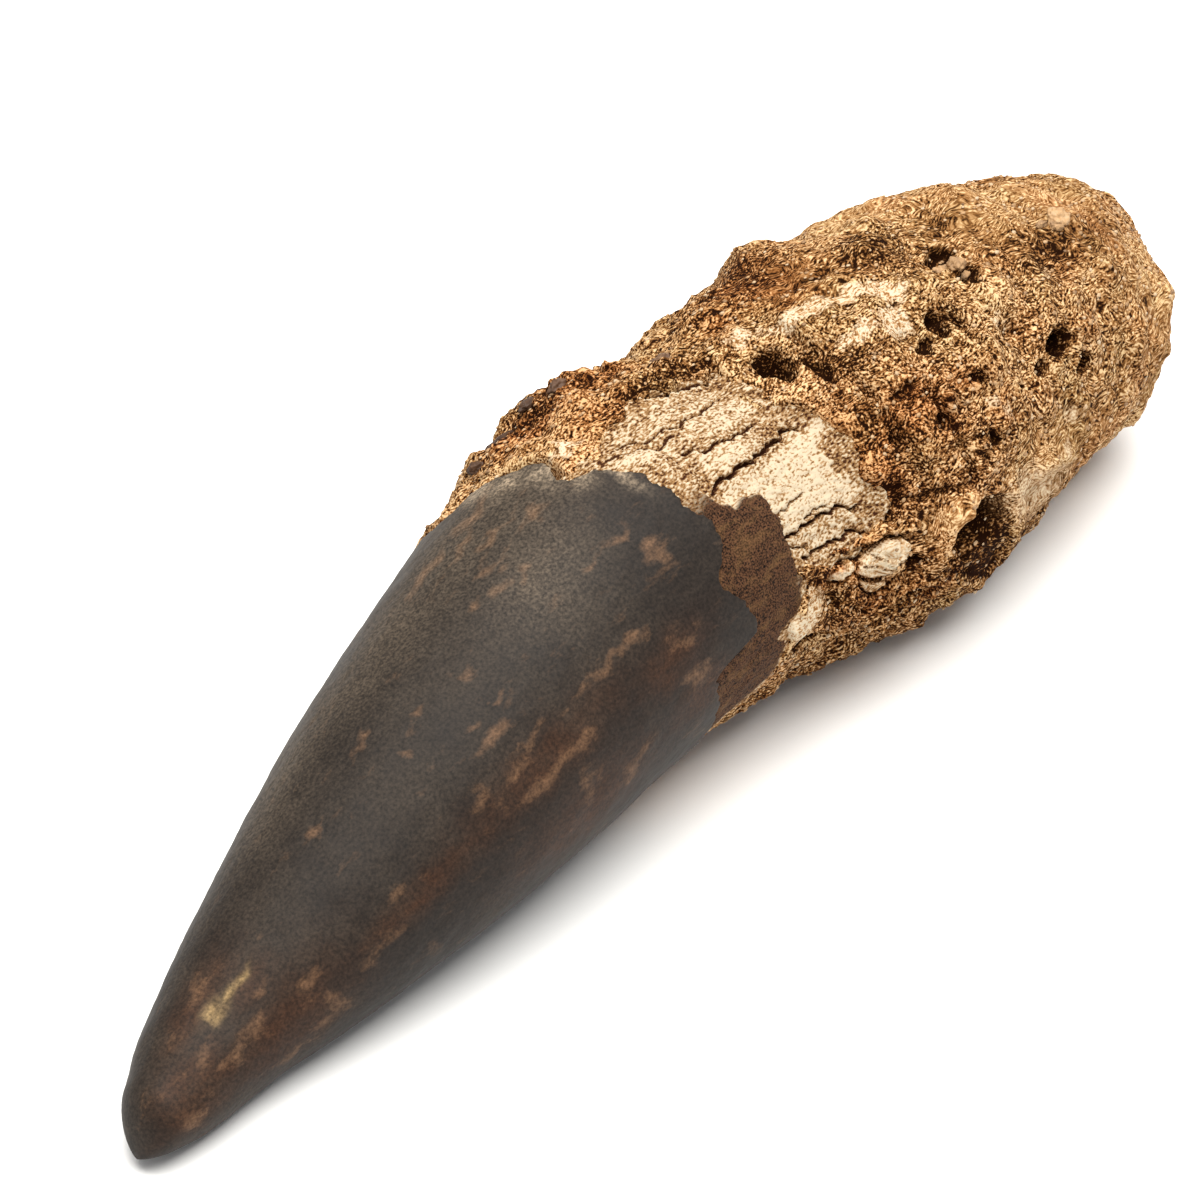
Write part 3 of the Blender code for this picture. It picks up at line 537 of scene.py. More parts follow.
def patches(x, angle, spots):
    """Soft patches that fade out from their middles"""
    value = np.zeros(x.shape)
    for at_x, at_angle, long, wide in spots:
        value = np.maximum(value, mound(x, angle, (at_x, at_angle, 1.0, long, wide)))
    return value


def solid_places(x, angle, size, stretch):
    """Places on the body in space as multiples of a size, which is longer along the tooth by stretch"""
    turn = np.radians(angle)
    width = half_width(x) / size
    return zip((x / size / stretch).ravel(), (np.sin(turn) * width).ravel(), (np.cos(turn) * width).ravel())


def uneven(x, angle, size, height, octaves, stretch=1.0):
    """Even noise over the surface, with lumps of about the size and height given"""
    values = [noise.fractal(place, 1.0, 2.0, octaves) for place in solid_places(x, angle, size, stretch)]
    return height * np.array(values).reshape(x.shape)


def bands(x, angle, size, height, octaves, stretch):
    """Noise read past the end of the tooth, where it has no width, so that it changes only along x"""
    return uneven(x + 2 * LENGTH, angle, size, height, octaves, stretch)


def layered(x, angle, layers):
    """Unevenness of several sizes at once"""
    return sum(uneven(x, angle, *layer) for layer in layers)


def crumbs(x, angle, size, height):
    """Rounded crumbs of about the size given, from the creases between them to their tops"""
    near = [noise.voronoi(place)[0] for place in solid_places(x, angle, size, 1.0)]
    gap = np.array([second - first for first, second, *_ in near]).reshape(x.shape)
    return height * (smooth(0.0, CRUMB_EDGE, gap) - CRUMB_MIDDLE)


def warped(x, angle, size, reach):
    """The same places pushed about by noise, for ragged outlines; around the tooth, a ring moves as one"""
    push_x = uneven(x, angle, size, reach, 3)
    push_around = uneven(x + LENGTH, angle, size, reach, 3)
    return x + push_x, angle + np.degrees(push_around / ROOT_RADIUS)


def mound(x, angle, place):
    """A rounded lump, or a dent where its height is below zero"""
    at_x, at_angle, height, long, wide = place
    along, around = away(x, angle, at_x, at_angle)
    return height * np.exp(-(along / long) ** 2 - (around / wide) ** 2)


def hole(x, angle, place):
    """Depth of a pit with a flat floor and steep sides"""
    at_x, at_angle, depth, long, wide = place
    along, around = away(x, angle, at_x, at_angle)
    return depth * smooth(-PIT_RIM, -PIT_FLOOR, -np.hypot(along / long, around / wide))


def scattered_features():
    """Small lumps and pits at seeded places on the root"""
    pick = random.Random(SCATTER_SEED)
    features = []
    for _ in range(SCATTERED):
        wide = pick.uniform(*SCATTER_SIZES)
        height = wide * pick.choice(SCATTER_HEIGHTS)
        at_x = pick.uniform(SCATTER_FROM, SCATTER_TO)
        at_angle = pick.uniform(-180, 180)
        features.append((at_x, at_angle, height, wide, wide * pick.uniform(*SCATTER_STRETCH)))
    return features


def enamel_edge(angle):
    """x of the enamel's edge, with small chips along it"""
    return through(ENAMEL_EDGE, angle) + layered(np.full(angle.shape, CROWN_LENGTH), angle, EDGE_CHIPS)


def bare_distance(x, angle):
    """Distance into the bare dentine, below zero where sandstone covers it"""
    x, angle = warped(x, angle, *BARE_WARP)
    return np.maximum(signed(x, angle, BARE_PANELS), signed(x, angle, NECK_BAND))


def to_points(x, angle, width):
    """Points at a distance from the tooth's middle line, in metres, and never below the floor"""
    turn = np.radians(angle)
    y = through(CENTRE_Y, x) - width * np.sin(turn)
    z = centre_z(x) + HEIGHT_TO_WIDTH * width * np.cos(turn)
    return np.stack([x - ORIGIN_X, y - ORIGIN_Y, np.maximum(z, 0)], -1) * MM


def middle(x):
    """The point on the tooth's middle line at x, in metres"""
    return to_points(np.array([x]), np.array([0.0]), np.array([0.0]))[0].tolist()


def grid(along, around):
    """x and angle of each point of a mesh: rings along the tooth, finer on the side with the most detail"""
    fine, coarse = around
    side = np.linspace(FINE_FROM, FINE_TO, fine, endpoint=False)
    far = np.linspace(FINE_TO, FINE_FROM + 360, coarse, endpoint=False)
    angles = (np.concatenate([side, far]) + 180) % 360 - 180
    return np.meshgrid(along, angles, indexing="ij")


def relief(lift, steps, height):
    """How far each place stands out from what is around it, from -1 to 1 at the height given"""
    flat = lift
    for _ in range(steps):
        wide = np.pad(flat, ((1, 1), (0, 0)), mode="edge")
        flat = (wide[:-2] + wide[2:] + np.roll(flat, 1, 1) + np.roll(flat, -1, 1) + 2 * flat) / 6
    return np.clip((lift - flat) / height, -1, 1)


def new_mesh(name, points, faces, values):
    """A smooth mesh with one value a point for each attribute"""
    mesh = bpy.data.meshes.new(name)
    mesh.from_pydata(points, [], faces)
    for key, value in values.items():
        layer = mesh.attributes.new(key, "FLOAT", "POINT")
        layer.data.foreach_set("value", np.asarray(value, np.float32))
    mesh.shade_smooth()
    return mesh


def ring_mesh(name, points, start, end, values):
    """A closed mesh from rings of points, with a point at each end"""
    rings, around = points.shape[:2]
    corner = np.arange(rings * around).reshape(rings, around)
    after = np.roll(corner, -1, axis=1)
    quads = np.stack([corner[:-1], after[:-1], after[1:], corner[1:]], -1).reshape(-1, 4).tolist()
    first, last = rings * around, rings * around + 1
    caps = [(first, b, a) for a, b in zip(corner[0], after[0])]
    caps += [(last, a, b) for a, b in zip(corner[-1], after[-1])]
    padded = {key: np.append(value.ravel(), [0.0, 0.0]) for key, value in values.items()}
    return new_mesh(name, points.reshape(-1, 3).tolist() + [start, end], quads + caps, padded)


def add_piece(mesh, material):
    """A new object that rides on the tooth's body and stands for its solid"""
    mesh.materials.append(material)
    piece = bpy.data.objects.new(mesh.name, mesh)
    bpy.context.collection.objects.link(piece)
    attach(piece, "root")
    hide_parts("tooth")


def node(tree, kind, settings=None, links=None):
    """Adds a shader node; settings are properties, socket values or colour stops, links feed its sockets"""
    made = tree.nodes.new("ShaderNode" + kind)
    for key, value in (settings or {}).items():
        if key == "stops":
            for place, _ in value[2:]:
                made.color_ramp.elements.new(place)
            for element, (place, colour) in zip(made.color_ramp.elements, value):
                element.position, element.color = place, tuple(colour)
        elif isinstance(key, str) and hasattr(made, key):
            setattr(made, key, value)
        else:
            made.inputs[key].default_value = value
    for key, source in (links or {}).items():
        if isinstance(source, bpy.types.Node):
            source = next(output for output in source.outputs if output.enabled)
        tree.links.new(source, made.inputs[key])
    return made


def new_material(name):
    """An empty material, its node tree and the places on the object"""
    material = bpy.data.materials.new(name)
    material.use_nodes = True
    material.node_tree.nodes.clear()
    return material, material.node_tree, node(material.node_tree, "TexCoord").outputs["Object"]


def per_mm(size):
    """Scale of a pattern whose cells are size millimetres wide"""
    return 1.0 / (size * MM)


def enamel_material(colours):
    """Fossil enamel, worn by sand and handling: a dense satin surface with clouds, flecks and fine grit"""
    material, tree, place = new_material("Fossil enamel")
    along = node(tree, "Mapping", {"Scale": (0.35, 1.0, 1.0)}, {"Vector": place})
    clouds, streaks, speckle = [
        node(tree, "TexNoise", {"Scale": per_mm(size), "Detail": detail, "Roughness": rough}, {"Vector": at})
        for size, detail, rough, at in (
            (4.0, 6.0, 0.62, place), (1.3, 5.0, 0.65, along), (0.24, 2.0, 0.6, place))
    ]
    cloud, fleck, red, scar, wash = [
        node(tree, "Attribute", {"attribute_name": zone}).outputs["Fac"]
        for zone in ("cloud", "fleck", "red", "scar", "wash")
    ]
    murk = node(tree, "Math", {"operation": "MULTIPLY_ADD", 1: -0.22}, {0: cloud, 2: clouds})
    stops = [(0.34, colours.enamel_dark), (0.60, colours.enamel)]
    surface = node(tree, "ValToRGB", {"stops": stops}, {0: murk})
    # Stain and flecks lie where the streak noise and their zone meet
    stain = node(tree, "Math", {"operation": "MULTIPLY"}, {0: red, 1: streaks})
    flecks = node(tree, "Math", {"operation": "MULTIPLY_ADD", 1: 0.30}, {0: fleck, 2: streaks})
    flecks = node(tree, "MapRange", {"From Min": 0.60, "From Max": 0.92, "To Max": 0.62}, {"Value": flecks})
    # Sand rubbed into the chipped edge, and painted sheen on the upper crown, mix in the dust colour; fine
    # grit shows everywhere
    grit = node(tree, "MapRange", {"From Min": 0.3, "From Max": 0.7, "To Min": 0.5, "To Max": 1.5},
                {"Value": speckle})
    dust = node(tree, "Math", {"operation": "MULTIPLY"}, {0: wash, 1: grit})
    for share, colour in ((stain, colours.enamel_red), (flecks, colours.enamel_fleck), (scar, colours.scar),
                          (dust, colours.dust)):
        surface = node(tree, "Mix", {"data_type": "RGBA", 7: tuple(colour)}, {0: share, 6: surface})
    final = node(tree, "VectorMath", {"operation": "MULTIPLY"}, {0: surface, 1: grit})
    rough = node(tree, "MapRange", {"To Min": 0.5, "To Max": 0.7}, {"Value": clouds})
    bump = node(tree, "Bump", {"Strength": 0.35, "Distance": 0.05 * MM}, {"Height": speckle})
    shader = node(tree, "BsdfPrincipled", {"IOR": 1.6, "Specular IOR Level": 0.12},
                  {"Base Color": final, "Roughness": rough, "Normal": bump})
    node(tree, "OutputMaterial", links={"Surface": shader})
    return material


def dentine_material(colours):
    """Bare fossil dentine: chalky cream plates with dark pores and dry cracks, stained brown at the neck"""
    material, tree, place = new_material("Fossil dentine")
    # Plates and pores are drawn out along the root
    plates = node(tree, "Mapping", {"Scale": (0.45, 1.0, 1.0)}, {"Vector": place})
    fibres = node(tree, "Mapping", {"Scale": (0.5, 1.0, 1.0)}, {"Vector": place})
    mottle, pores, dust = [
        node(tree, "TexNoise", {"Scale": per_mm(size), "Detail": detail, "Roughness": rough}, {"Vector": at})
        for size, detail, rough, at in (
            (1.1, 5.0, 0.7, plates), (0.18, 1.0, 0.5, fibres), (0.13, 1.0, 0.5, place))
    ]
    white, crack, neck = [
        node(tree, "Attribute", {"attribute_name": zone}).outputs["Fac"]
        for zone in ("white", "crack", "neck")
    ]
    level = node(tree, "Math", {"operation": "MULTIPLY_ADD", 1: 0.42, 2: -1.20}, {0: white})
    for source, share in ((mottle, 0.9), (pores, 2.2), (crack, -0.8)):
        level = node(tree, "Math", {"operation": "MULTIPLY_ADD", 1: share}, {0: source, 2: level})
    stops = [(0.0, colours.dentine_dark), (0.40, colours.dentine_tan), (0.78, colours.dentine)]
    base = node(tree, "ValToRGB", {"stops": stops}, {0: level})
    # The neck is smooth and brown, with fine specks and a worn, tanner bloom
    speck = node(tree, "MapRange", {"From Min": 0.34, "From Max": 0.66, "To Min": 0.0, "To Max": 2.1},
                 {"Value": dust})
    brown = node(tree, "VectorMath", {"operation": "MULTIPLY", 0: tuple(colours.neck)[:3]}, {1: speck})
    worn = node(tree, "MapRange", {"From Min": 0.50, "From Max": 0.78, "To Max": 0.35}, {"Value": mottle})
    brown = node(tree, "Mix", {"data_type": "RGBA", 7: tuple(colours.dentine_tan)}, {0: worn, 6: brown})
    final = node(tree, "Mix", {"data_type": "RGBA"}, {0: neck, 6: base, 7: brown})
    bump = node(tree, "Bump", {"Strength": 0.7, "Distance": 0.08 * MM}, {"Height": pores})
    shader = node(tree, "BsdfPrincipled", {"IOR": 1.55, "Roughness": 0.85, "Specular IOR Level": 0.1},
                  {"Base Color": final, "Normal": bump})
    node(tree, "OutputMaterial", links={"Surface": shader})
    return material


def sandstone_material(colours, grain_mm):
    """Fine sandstone cemented by calcite and iron: matt, granular, dark between the grains"""
    material, tree, place = new_material("Cemented sandstone")
    along = node(tree, "Mapping", {"Scale": (0.8, 1.0, 1.0)}, {"Vector": place})
    fine = {"Scale": per_mm(grain_mm * 0.5), "Detail": 1.0, "Roughness": 0.5}
    grit = node(tree, "TexNoise", fine, {"Vector": along})
    lumps, mottle, stain, drift = [
        node(tree, "TexNoise", {"Scale": per_mm(size), "Detail": detail, "Roughness": rough},
             {"Vector": place})
        for size, detail, rough in (
            (grain_mm * 1.6, 2.0, 0.5), (2.6, 4.0, 0.6), (6.0, 3.0, 0.6), (3.0, 1.0, 0.5))
    ]
    calm, top, dark, pale, rust, streak = [
        node(tree, "Attribute", {"attribute_name": zone}).outputs["Fac"]
        for zone in ("calm", "top", "dark", "pale", "rust", "streak")
    ]
    # Worn, calm places show the grain as fine lines that run with the bedding
    bent = node(tree, "VectorMath", {"operation": "MULTIPLY_ADD", 1: (4 * MM, 4 * MM, 4 * MM)},
                {0: drift.outputs["Color"], 2: place})
    bedding = node(tree, "Mapping", {"Rotation": (0.0, 0.2, 0.6), "Scale": (0.24, 1.0, 1.0)},
                   {"Vector": bent})
    lines = node(tree, "TexNoise", fine, {"Vector": bedding})
    lined = node(tree, "Math", {"operation": "MULTIPLY_ADD", 1: 0.4, 2: 0.5}, {0: calm})
    grain = node(tree, "Mix", {"data_type": "FLOAT"}, {0: lined, 2: grit, 3: lines})
    grain = node(tree, "Math", {"operation": "MULTIPLY_ADD", 1: 0.2}, {0: lumps, 2: grain})
    # The level runs from the gaps between grains to their palest tops, and each zone shifts it
    centred = node(tree, "Math", {"operation": "SUBTRACT", 1: 0.6}, {0: grain})
    reach = node(tree, "Math", {"operation": "MULTIPLY_ADD", 1: -3.0, 2: 5.2}, {0: calm})
    level = node(tree, "Math", {"operation": "MULTIPLY_ADD", 2: 0.08}, {0: centred, 1: reach})
    # The top attribute adds painted light on raised places and painted shade in hollows
    for source, share in ((mottle, 0.5), (top, 0.30), (dark, -0.40), (pale, 0.20)):
        level = node(tree, "Math", {"operation": "MULTIPLY_ADD", 1: share}, {0: source, 2: level})
    stops = [(0.04, colours.sand_dark), (0.46, colours.sand), (0.80, colours.sand_light),
             (1.0, colours.sand_white)]
    base = node(tree, "ValToRGB", {"stops": stops}, {0: level})
    rusty = node(tree, "Mix", {"data_type": "RGBA", "blend_type": "MULTIPLY", 7: tuple(colours.rust)},
                 {0: rust, 6: base})
    stops = [(0.35, colours.tint_cool), (0.65, colours.tint_warm)]
    tint = node(tree, "ValToRGB", {"stops": stops}, {0: stain})
    tinted = node(tree, "Mix", {"data_type": "RGBA", "blend_type": "MULTIPLY", 0: 1.0}, {6: rusty, 7: tint})
    # Calcite keeps the grain, as brown specks in cream
    stops = [(0.0, colours.sand), (0.30, colours.sand_light), (0.75, colours.calcite)]
    cream = node(tree, "ValToRGB", {"stops": stops}, {0: level})
    share = node(tree, "Math", {"operation": "MULTIPLY_ADD", 1: 1.6, 2: -0.80}, {0: streak})
    share = node(tree, "Math", {"operation": "ADD", "use_clamp": True}, {0: grit, 1: share})
    final = node(tree, "Mix", {"data_type": "RGBA"}, {0: share, 6: tinted, 7: cream})
    bump = node(tree, "Bump", {"Strength": 0.8, "Distance": 0.12 * MM}, {"Height": grit})
    shader = node(tree, "BsdfPrincipled", {"IOR": 1.5, "Roughness": 0.95, "Specular IOR Level": 0.05},
                  {"Base Color": final, "Normal": bump})
    node(tree, "OutputMaterial", links={"Surface": shader})
    return material


def stone_material(colours):
    """Grains and pebbles of quartz, calcite and ironstone: rounded by wind, with a dull shine"""
    material, tree, place = new_material("Rounded grains")
    mottle = node(tree, "TexNoise", {"Scale": per_mm(0.5), "Detail": 3.0, "Roughness": 0.6},
                  {"Vector": place})
    tone = node(tree, "Attribute", {"attribute_name": "tone"}).outputs["Fac"]
    level = node(tree, "Math", {"operation": "MULTIPLY_ADD", 1: 0.5, 2: -0.25}, {0: mottle})
    level = node(tree, "Math", {"operation": "ADD"}, {0: tone, 1: level})
    stops = [(0.0, colours.sand_dark), (0.45, colours.pebble), (0.70, colours.sand_light),
             (1.0, colours.calcite)]
    base = node(tree, "ValToRGB", {"stops": stops}, {0: level})
    bump = node(tree, "Bump", {"Strength": 0.4, "Distance": 0.08 * MM}, {"Height": mottle})
    shader = node(tree, "BsdfPrincipled", {"IOR": 1.54, "Roughness": 0.55, "Specular IOR Level": 0.2},
                  {"Base Color": base, "Normal": bump})
    node(tree, "OutputMaterial", links={"Surface": shader})
    return material


def floor_material(colours):
    """Matt white card under the fossil, smooth enough to take only its shadow"""
    material, tree, place = new_material("White card")
    fibre = node(tree, "TexNoise", {"Scale": per_mm(0.8), "Detail": 2.0}, {"Vector": place})
    bump = node(tree, "Bump", {"Strength": 0.05, "Distance": 0.02 * MM}, {"Height": fibre})
    shader = node(tree, "BsdfPrincipled", {"Base Color": tuple(colours.floor), "Roughness": 0.9},
                  {"Normal": bump})
    node(tree, "OutputMaterial", links={"Surface": shader})
    return material


class FOSSIL_OT_enamel(bpy.types.Operator):
    """Crown: a shell of enamel whose ragged lower edge stands on the dentine"""

    bl_idname = "fossil.enamel"
    bl_label = "Enamel crown"

    def execute(self, context):
        sizes, colours = context.scene.fossil_sizes, context.scene.fossil_colours
        thickness = sizes.enamel_thickness / MM
        tip_part = TIP_ROUNDING / CROWN_LENGTH
        tip = tip_part * (1 - np.cos(np.linspace(0, math.pi / 2, TIP_RINGS)[1:]))
        along = np.concatenate([tip, np.linspace(tip_part, 1, CROWN_RINGS)[1:]])
        part, angle = grid(along, CROWN_AROUND)
        x = part * enamel_edge(angle)
        width = half_width(x)
        lift = layered(x, angle, CROWN_UNEVEN) - SCAR_DEPTH * patches(x, angle, SCAR_PATCHES)
        width = width + lift * smooth(0.0, THINNEST_UNEVEN, width)
        lip_x = np.stack([x[-1] + past for past, _ in LIP])
        lip_width = np.stack([width[-1] - thickness * down for _, down in LIP])
        x, width = np.vstack([x, lip_x]), np.vstack([width, lip_width])
        angle = np.vstack([angle, np.repeat(angle[:1], len(LIP), axis=0)])
        tint_x, tint_angle = warped(x, angle, *CROWN_TINT_WARP)
        values = {zone: patches(tint_x, tint_angle, spots) for zone, spots in CROWN_TINTS.items()}
        # Sand rubbed into the chipped edge, and painted sheen on the upper crown
        values["wash"] = (WASH_SHARE * patches(tint_x, tint_angle, WASH_PATCHES)
                          + SHEEN_SHARE * patches(tint_x, tint_angle, SHEEN_PATCHES))
        points = to_points(x, angle, width)
        mesh = ring_mesh("enamel_crown", points, middle(0.0), middle(LIP_ENDS_AT), values)
        add_piece(mesh, enamel_material(colours))
        return {"FINISHED"}


class FOSSIL_OT_dentine(bpy.types.Operator):
    """Root below the enamel: cracked and flaking dentine, bare in the neck band and in the broken panels"""

    bl_idname = "fossil.dentine"
    bl_label = "Dentine"

    def execute(self, context):
        sizes, colours = context.scene.fossil_sizes, context.scene.fossil_colours
        x, angle = grid(np.linspace(DENTINE_FROM, DENTINE_TO, DENTINE_RINGS), DENTINE_AROUND)
        warp_x, warp_angle = warped(x, angle, *DENTINE_WARP)
        beyond = x - through(ENAMEL_EDGE, angle)
        neck = window(warp_x, warp_angle, NECK_BAND, NECK_SOFTNESS) * smooth(*NECK_DARKENS, warp_angle)
        panel = window(x, angle, BARE_PANELS, PANEL_SOFTNESS) * (1 - neck)
        crack = np.zeros(x.shape)
        deep = np.zeros(x.shape)
        for line, wide, depth in CRACKS:
            across = line_distance(warp_x, warp_angle, line) / (CRACK_WIDTH * wide)
            groove = np.clip(1 + CRACK_FLOOR - across, 0, 1)
            crack = np.maximum(crack, groove)
            deep = np.maximum(deep, CRACK_DEPTH * depth * groove)
        fibres = uneven(x, angle, *FIBRES)
        flakes = bands(x, angle, *FLAKES)
        steps = np.floor(flakes * FLAKE_STEPS) / FLAKE_STEPS
        lift = layered(x, angle, DENTINE_UNEVEN) - sizes.enamel_thickness / MM
        lift -= PANEL_DEPTH * panel * smooth(PANEL_SINKS_FROM, PANEL_SINKS_TO, beyond)
        lift += panel * (FLAKE_HEIGHT * steps + FIBRE_HEIGHT * fibres + uneven(x, angle, *PANEL_GRAIN)) - deep
        # Under the sandstone the dentine lies deeper, so that no pit reaches it
        lift -= COVERED_DEPTH * smooth(*COVERED_SINKS, -bare_distance(x, angle)) * smooth(-1.0, 1.0, beyond)
        white = windows(warp_x, warp_angle, WHITE_PANELS, WHITE_SOFTNESS)
        # Raised dentine is painted whiter and its hollows darker, as painted light and painted shade
        white += WHITE_FLAKES * flakes + WHITE_FIBRES * fibres + WHITE_RELIEF_SHADE * relief(lift, *DENTINE_RELIEF)
        points = to_points(x, angle, half_width(x) + lift)
        values = {"white": white, "crack": crack, "neck": neck}
        mesh = ring_mesh("dentine_root", points, middle(DENTINE_FROM), middle(DENTINE_TO), values)
        add_piece(mesh, dentine_material(colours))
        return {"FINISHED"}


def shard_distance(x, angle):
    """Distance into the nearest shard of the nodule, below zero outside and in the cracks"""
    within = np.max([signed(x, angle, outline) for outline in SHARDS], axis=0)
    for crack in NODULE_CRACKS:
        within = np.minimum(within, line_distance(x, angle, crack) - CRACK_HALF)
    return within


def shard_rim(shard):
    """1 in the gap that runs around each shard, fading out on both sides"""
    return np.exp(-((shard + SHARD_GAP) / SHARD_GAP) ** 2)


def sandstone_lift(x, angle, depth):
    """How far the sandstone stands out from the body, and how far into a pit each place is"""
    covered = smooth(-CRUST_EDGE, CRUST_EDGE, -bare_distance(x, angle))
    covered *= smooth(*CRUST_BEHIND_ENAMEL, x - through(ENAMEL_EDGE, angle))
    warp_x, warp_angle = warped(x, angle, *ROCK_WARP)
    lift = layered(x, angle, ROCK_UNEVEN)
    for place in scattered_features() + LUMPS + END_FACETS:
        lift += mound(x, angle, place)
    crease = np.zeros(x.shape)
    for line, half, height in FOLDS:
        rise = height * np.exp(-(line_distance(warp_x, warp_angle, line) / half) ** 2)
        lift += np.maximum(rise, 0)
        crease -= np.minimum(rise, 0)
    shard = shard_distance(x, angle)
    lift *= 1 - SHARD_CALM * smooth(0, SHARD_CALM_FROM, shard)
    lift += SHARD_HEIGHT * (smooth(*SHARD_EDGE, shard) - shard_rim(shard))
    pit = np.zeros(x.shape)
    for place in PITS:
        pit = np.maximum(pit, hole(warp_x, warp_angle, place))
    pit += HOLLOW_DEPTH * window(warp_x, warp_angle, HOLLOW, HOLLOW_SOFTNESS) + crease
    lift += layered(x, angle, ROCK_GRAIN)
    crag = patches(x, angle, CRAG_PATCHES)
    lift += crag * (crumbs(x, angle, *CRUMBS) + uneven(x, angle, *CRAG_LUMPS))
    lift -= crag * GROOVE_DEPTH * smooth(*GROOVE_SIDES, bands(x, angle, *CRAG_GROOVES))
    return -depth + covered * (depth + lift - pit), pit


def sandstone_part(name, start, end, rings, depth, material):
    """One length of the sandstone as a closed mesh"""
    rounding = []
    if end > LENGTH - END_ROUNDING:
        arc = np.sin(np.linspace(0, math.pi / 2, END_EDGE_RINGS))[1:-1]
        rounding = LENGTH - END_ROUNDING + END_ROUNDING * arc
    along = np.concatenate([np.linspace(start, min(end, LENGTH - END_ROUNDING), rings), rounding])
    x, angle = grid(along, ROCK_AROUND)
    lift, pit = sandstone_lift(x, angle, depth)
    shard = shard_distance(x, angle)
    on_shard = smooth(*SHARD_TINT_EDGE, shard)
    tint_x, tint_angle = warped(x, angle, *ROCK_TINT_WARP)
    values = {zone: patches(tint_x, tint_angle, spots) for zone, spots in ROCK_TINTS.items()}
    values["calm"] = np.maximum(values["calm"], on_shard)
    # Pits, crevices and the hollow are painted darker by their depth, as painted shade
    values["dark"] = np.maximum(values["dark"], np.clip(PIT_SHADE_RATE * pit, 0, DARKEST_PIT_SHADE)) + shard_rim(shard)
    # Raised places are painted lighter and hollows darker, as painted light and painted shade
    values["top"] = 0.5 + 0.25 * (relief(lift, *FINE_RELIEF) + relief(lift, *BROAD_RELIEF))
    streak_x, streak_angle = warped(x, angle, *STREAK_WARP)
    streaks = windows(streak_x, streak_angle, [(outline, 1.0) for outline in PALE_STREAKS], STREAK_SOFTNESS)
    flank = FLANK_PALE * patches(streak_x, streak_angle, PALE_FLANK)
    values["streak"] = np.max([streaks, flank, SHARD_PALE * on_shard], axis=0)
    width = half_width(x)
    points = to_points(x, angle, width + lift * smooth(0.0, THINNEST_UNEVEN, width))
    # The first rings lie just inside the length before, so that no two faces share a plane
    sunk = SEAM_SINK * (x < start + SEAM_OVERLAP)[..., None]
    points += (to_points(x, angle, np.zeros(x.shape)) - points) * sunk
    add_piece(ring_mesh(name, points, middle(start), middle(min(end, LENGTH)), values), material)


class FOSSIL_OT_sandstone(bpy.types.Operator):
    """Sandstone cemented to the root: crumbs, ledges, pits and hollows, ending ragged where dentine shows"""

    bl_idname = "fossil.sandstone"
    bl_label = "Sandstone"

    def execute(self, context):
        sizes, colours = context.scene.fossil_sizes, context.scene.fossil_colours
        depth = sizes.crust_depth / MM
        material = sandstone_material(colours, sizes.grain_size / MM)
        sandstone_part("sandstone_neck", CRUST_FROM, SEAM_AT, NECK_RINGS, depth, material)
        sandstone_part("sandstone_end", SEAM_AT - SEAM_OVERLAP, LENGTH, END_RINGS, depth, material)
        return {"FINISHED"}


def unit_stone(detail):
    """Points and faces of a round stone"""
    shape = bmesh.new()
    bmesh.ops.create_icosphere(shape, subdivisions=detail, radius=1.0)
    points = np.array([vertex.co for vertex in shape.verts])
    faces = np.array([[vertex.index for vertex in face.verts] for face in shape.faces])
    shape.free()
    return points, faces


def stones_mesh(name, stones, detail, depth, lumpiness):
    """Lumpy stones half sunk in the sandstone and joined in one mesh"""
    pick = random.Random(STONE_SEED)
    points, faces = unit_stone(detail)
    x, angle = np.array([stone[:2] for stone in stones], float).T
    lift, _ = sandstone_lift(x, angle, depth)
    centres = to_points(x, angle, half_width(x) + lift) / MM
    all_points, all_tones = [], []
    for (_, at_angle, long, wide, high, tone), centre in zip(stones, centres):
        turn = math.radians(at_angle)
        across, up = math.sin(turn), math.cos(turn)
        axes = np.array([(1, 0, 0), (0, -up, -across), (0, -across, up)])
        shift = Vector([pick.uniform(0, STONE_SHIFT) for _ in range(3)])
        bumps = [sum(share * noise.noise(Vector(point) * count + shift) for count, share in STONE_BUMPS)
                 for point in points]
        swell = 1 + lumpiness * np.array(bumps)
        spin = np.array(Euler((0, 0, pick.uniform(-STONE_SPIN, STONE_SPIN))).to_matrix())
        placed = centre + (points * swell[:, None] * (long, wide, high)) @ spin.T @ axes
        placed[:, 2] = np.maximum(placed[:, 2], 0)
        all_points.append(placed * MM)
        all_tones.append(np.full(len(points), tone))
    shifts = np.arange(len(stones))[:, None, None] * len(points)
    all_faces = (faces[None] + shifts).reshape(-1, 3).tolist()
    return new_mesh(name, np.vstack(all_points).tolist(), all_faces, {"tone": np.concatenate(all_tones)})


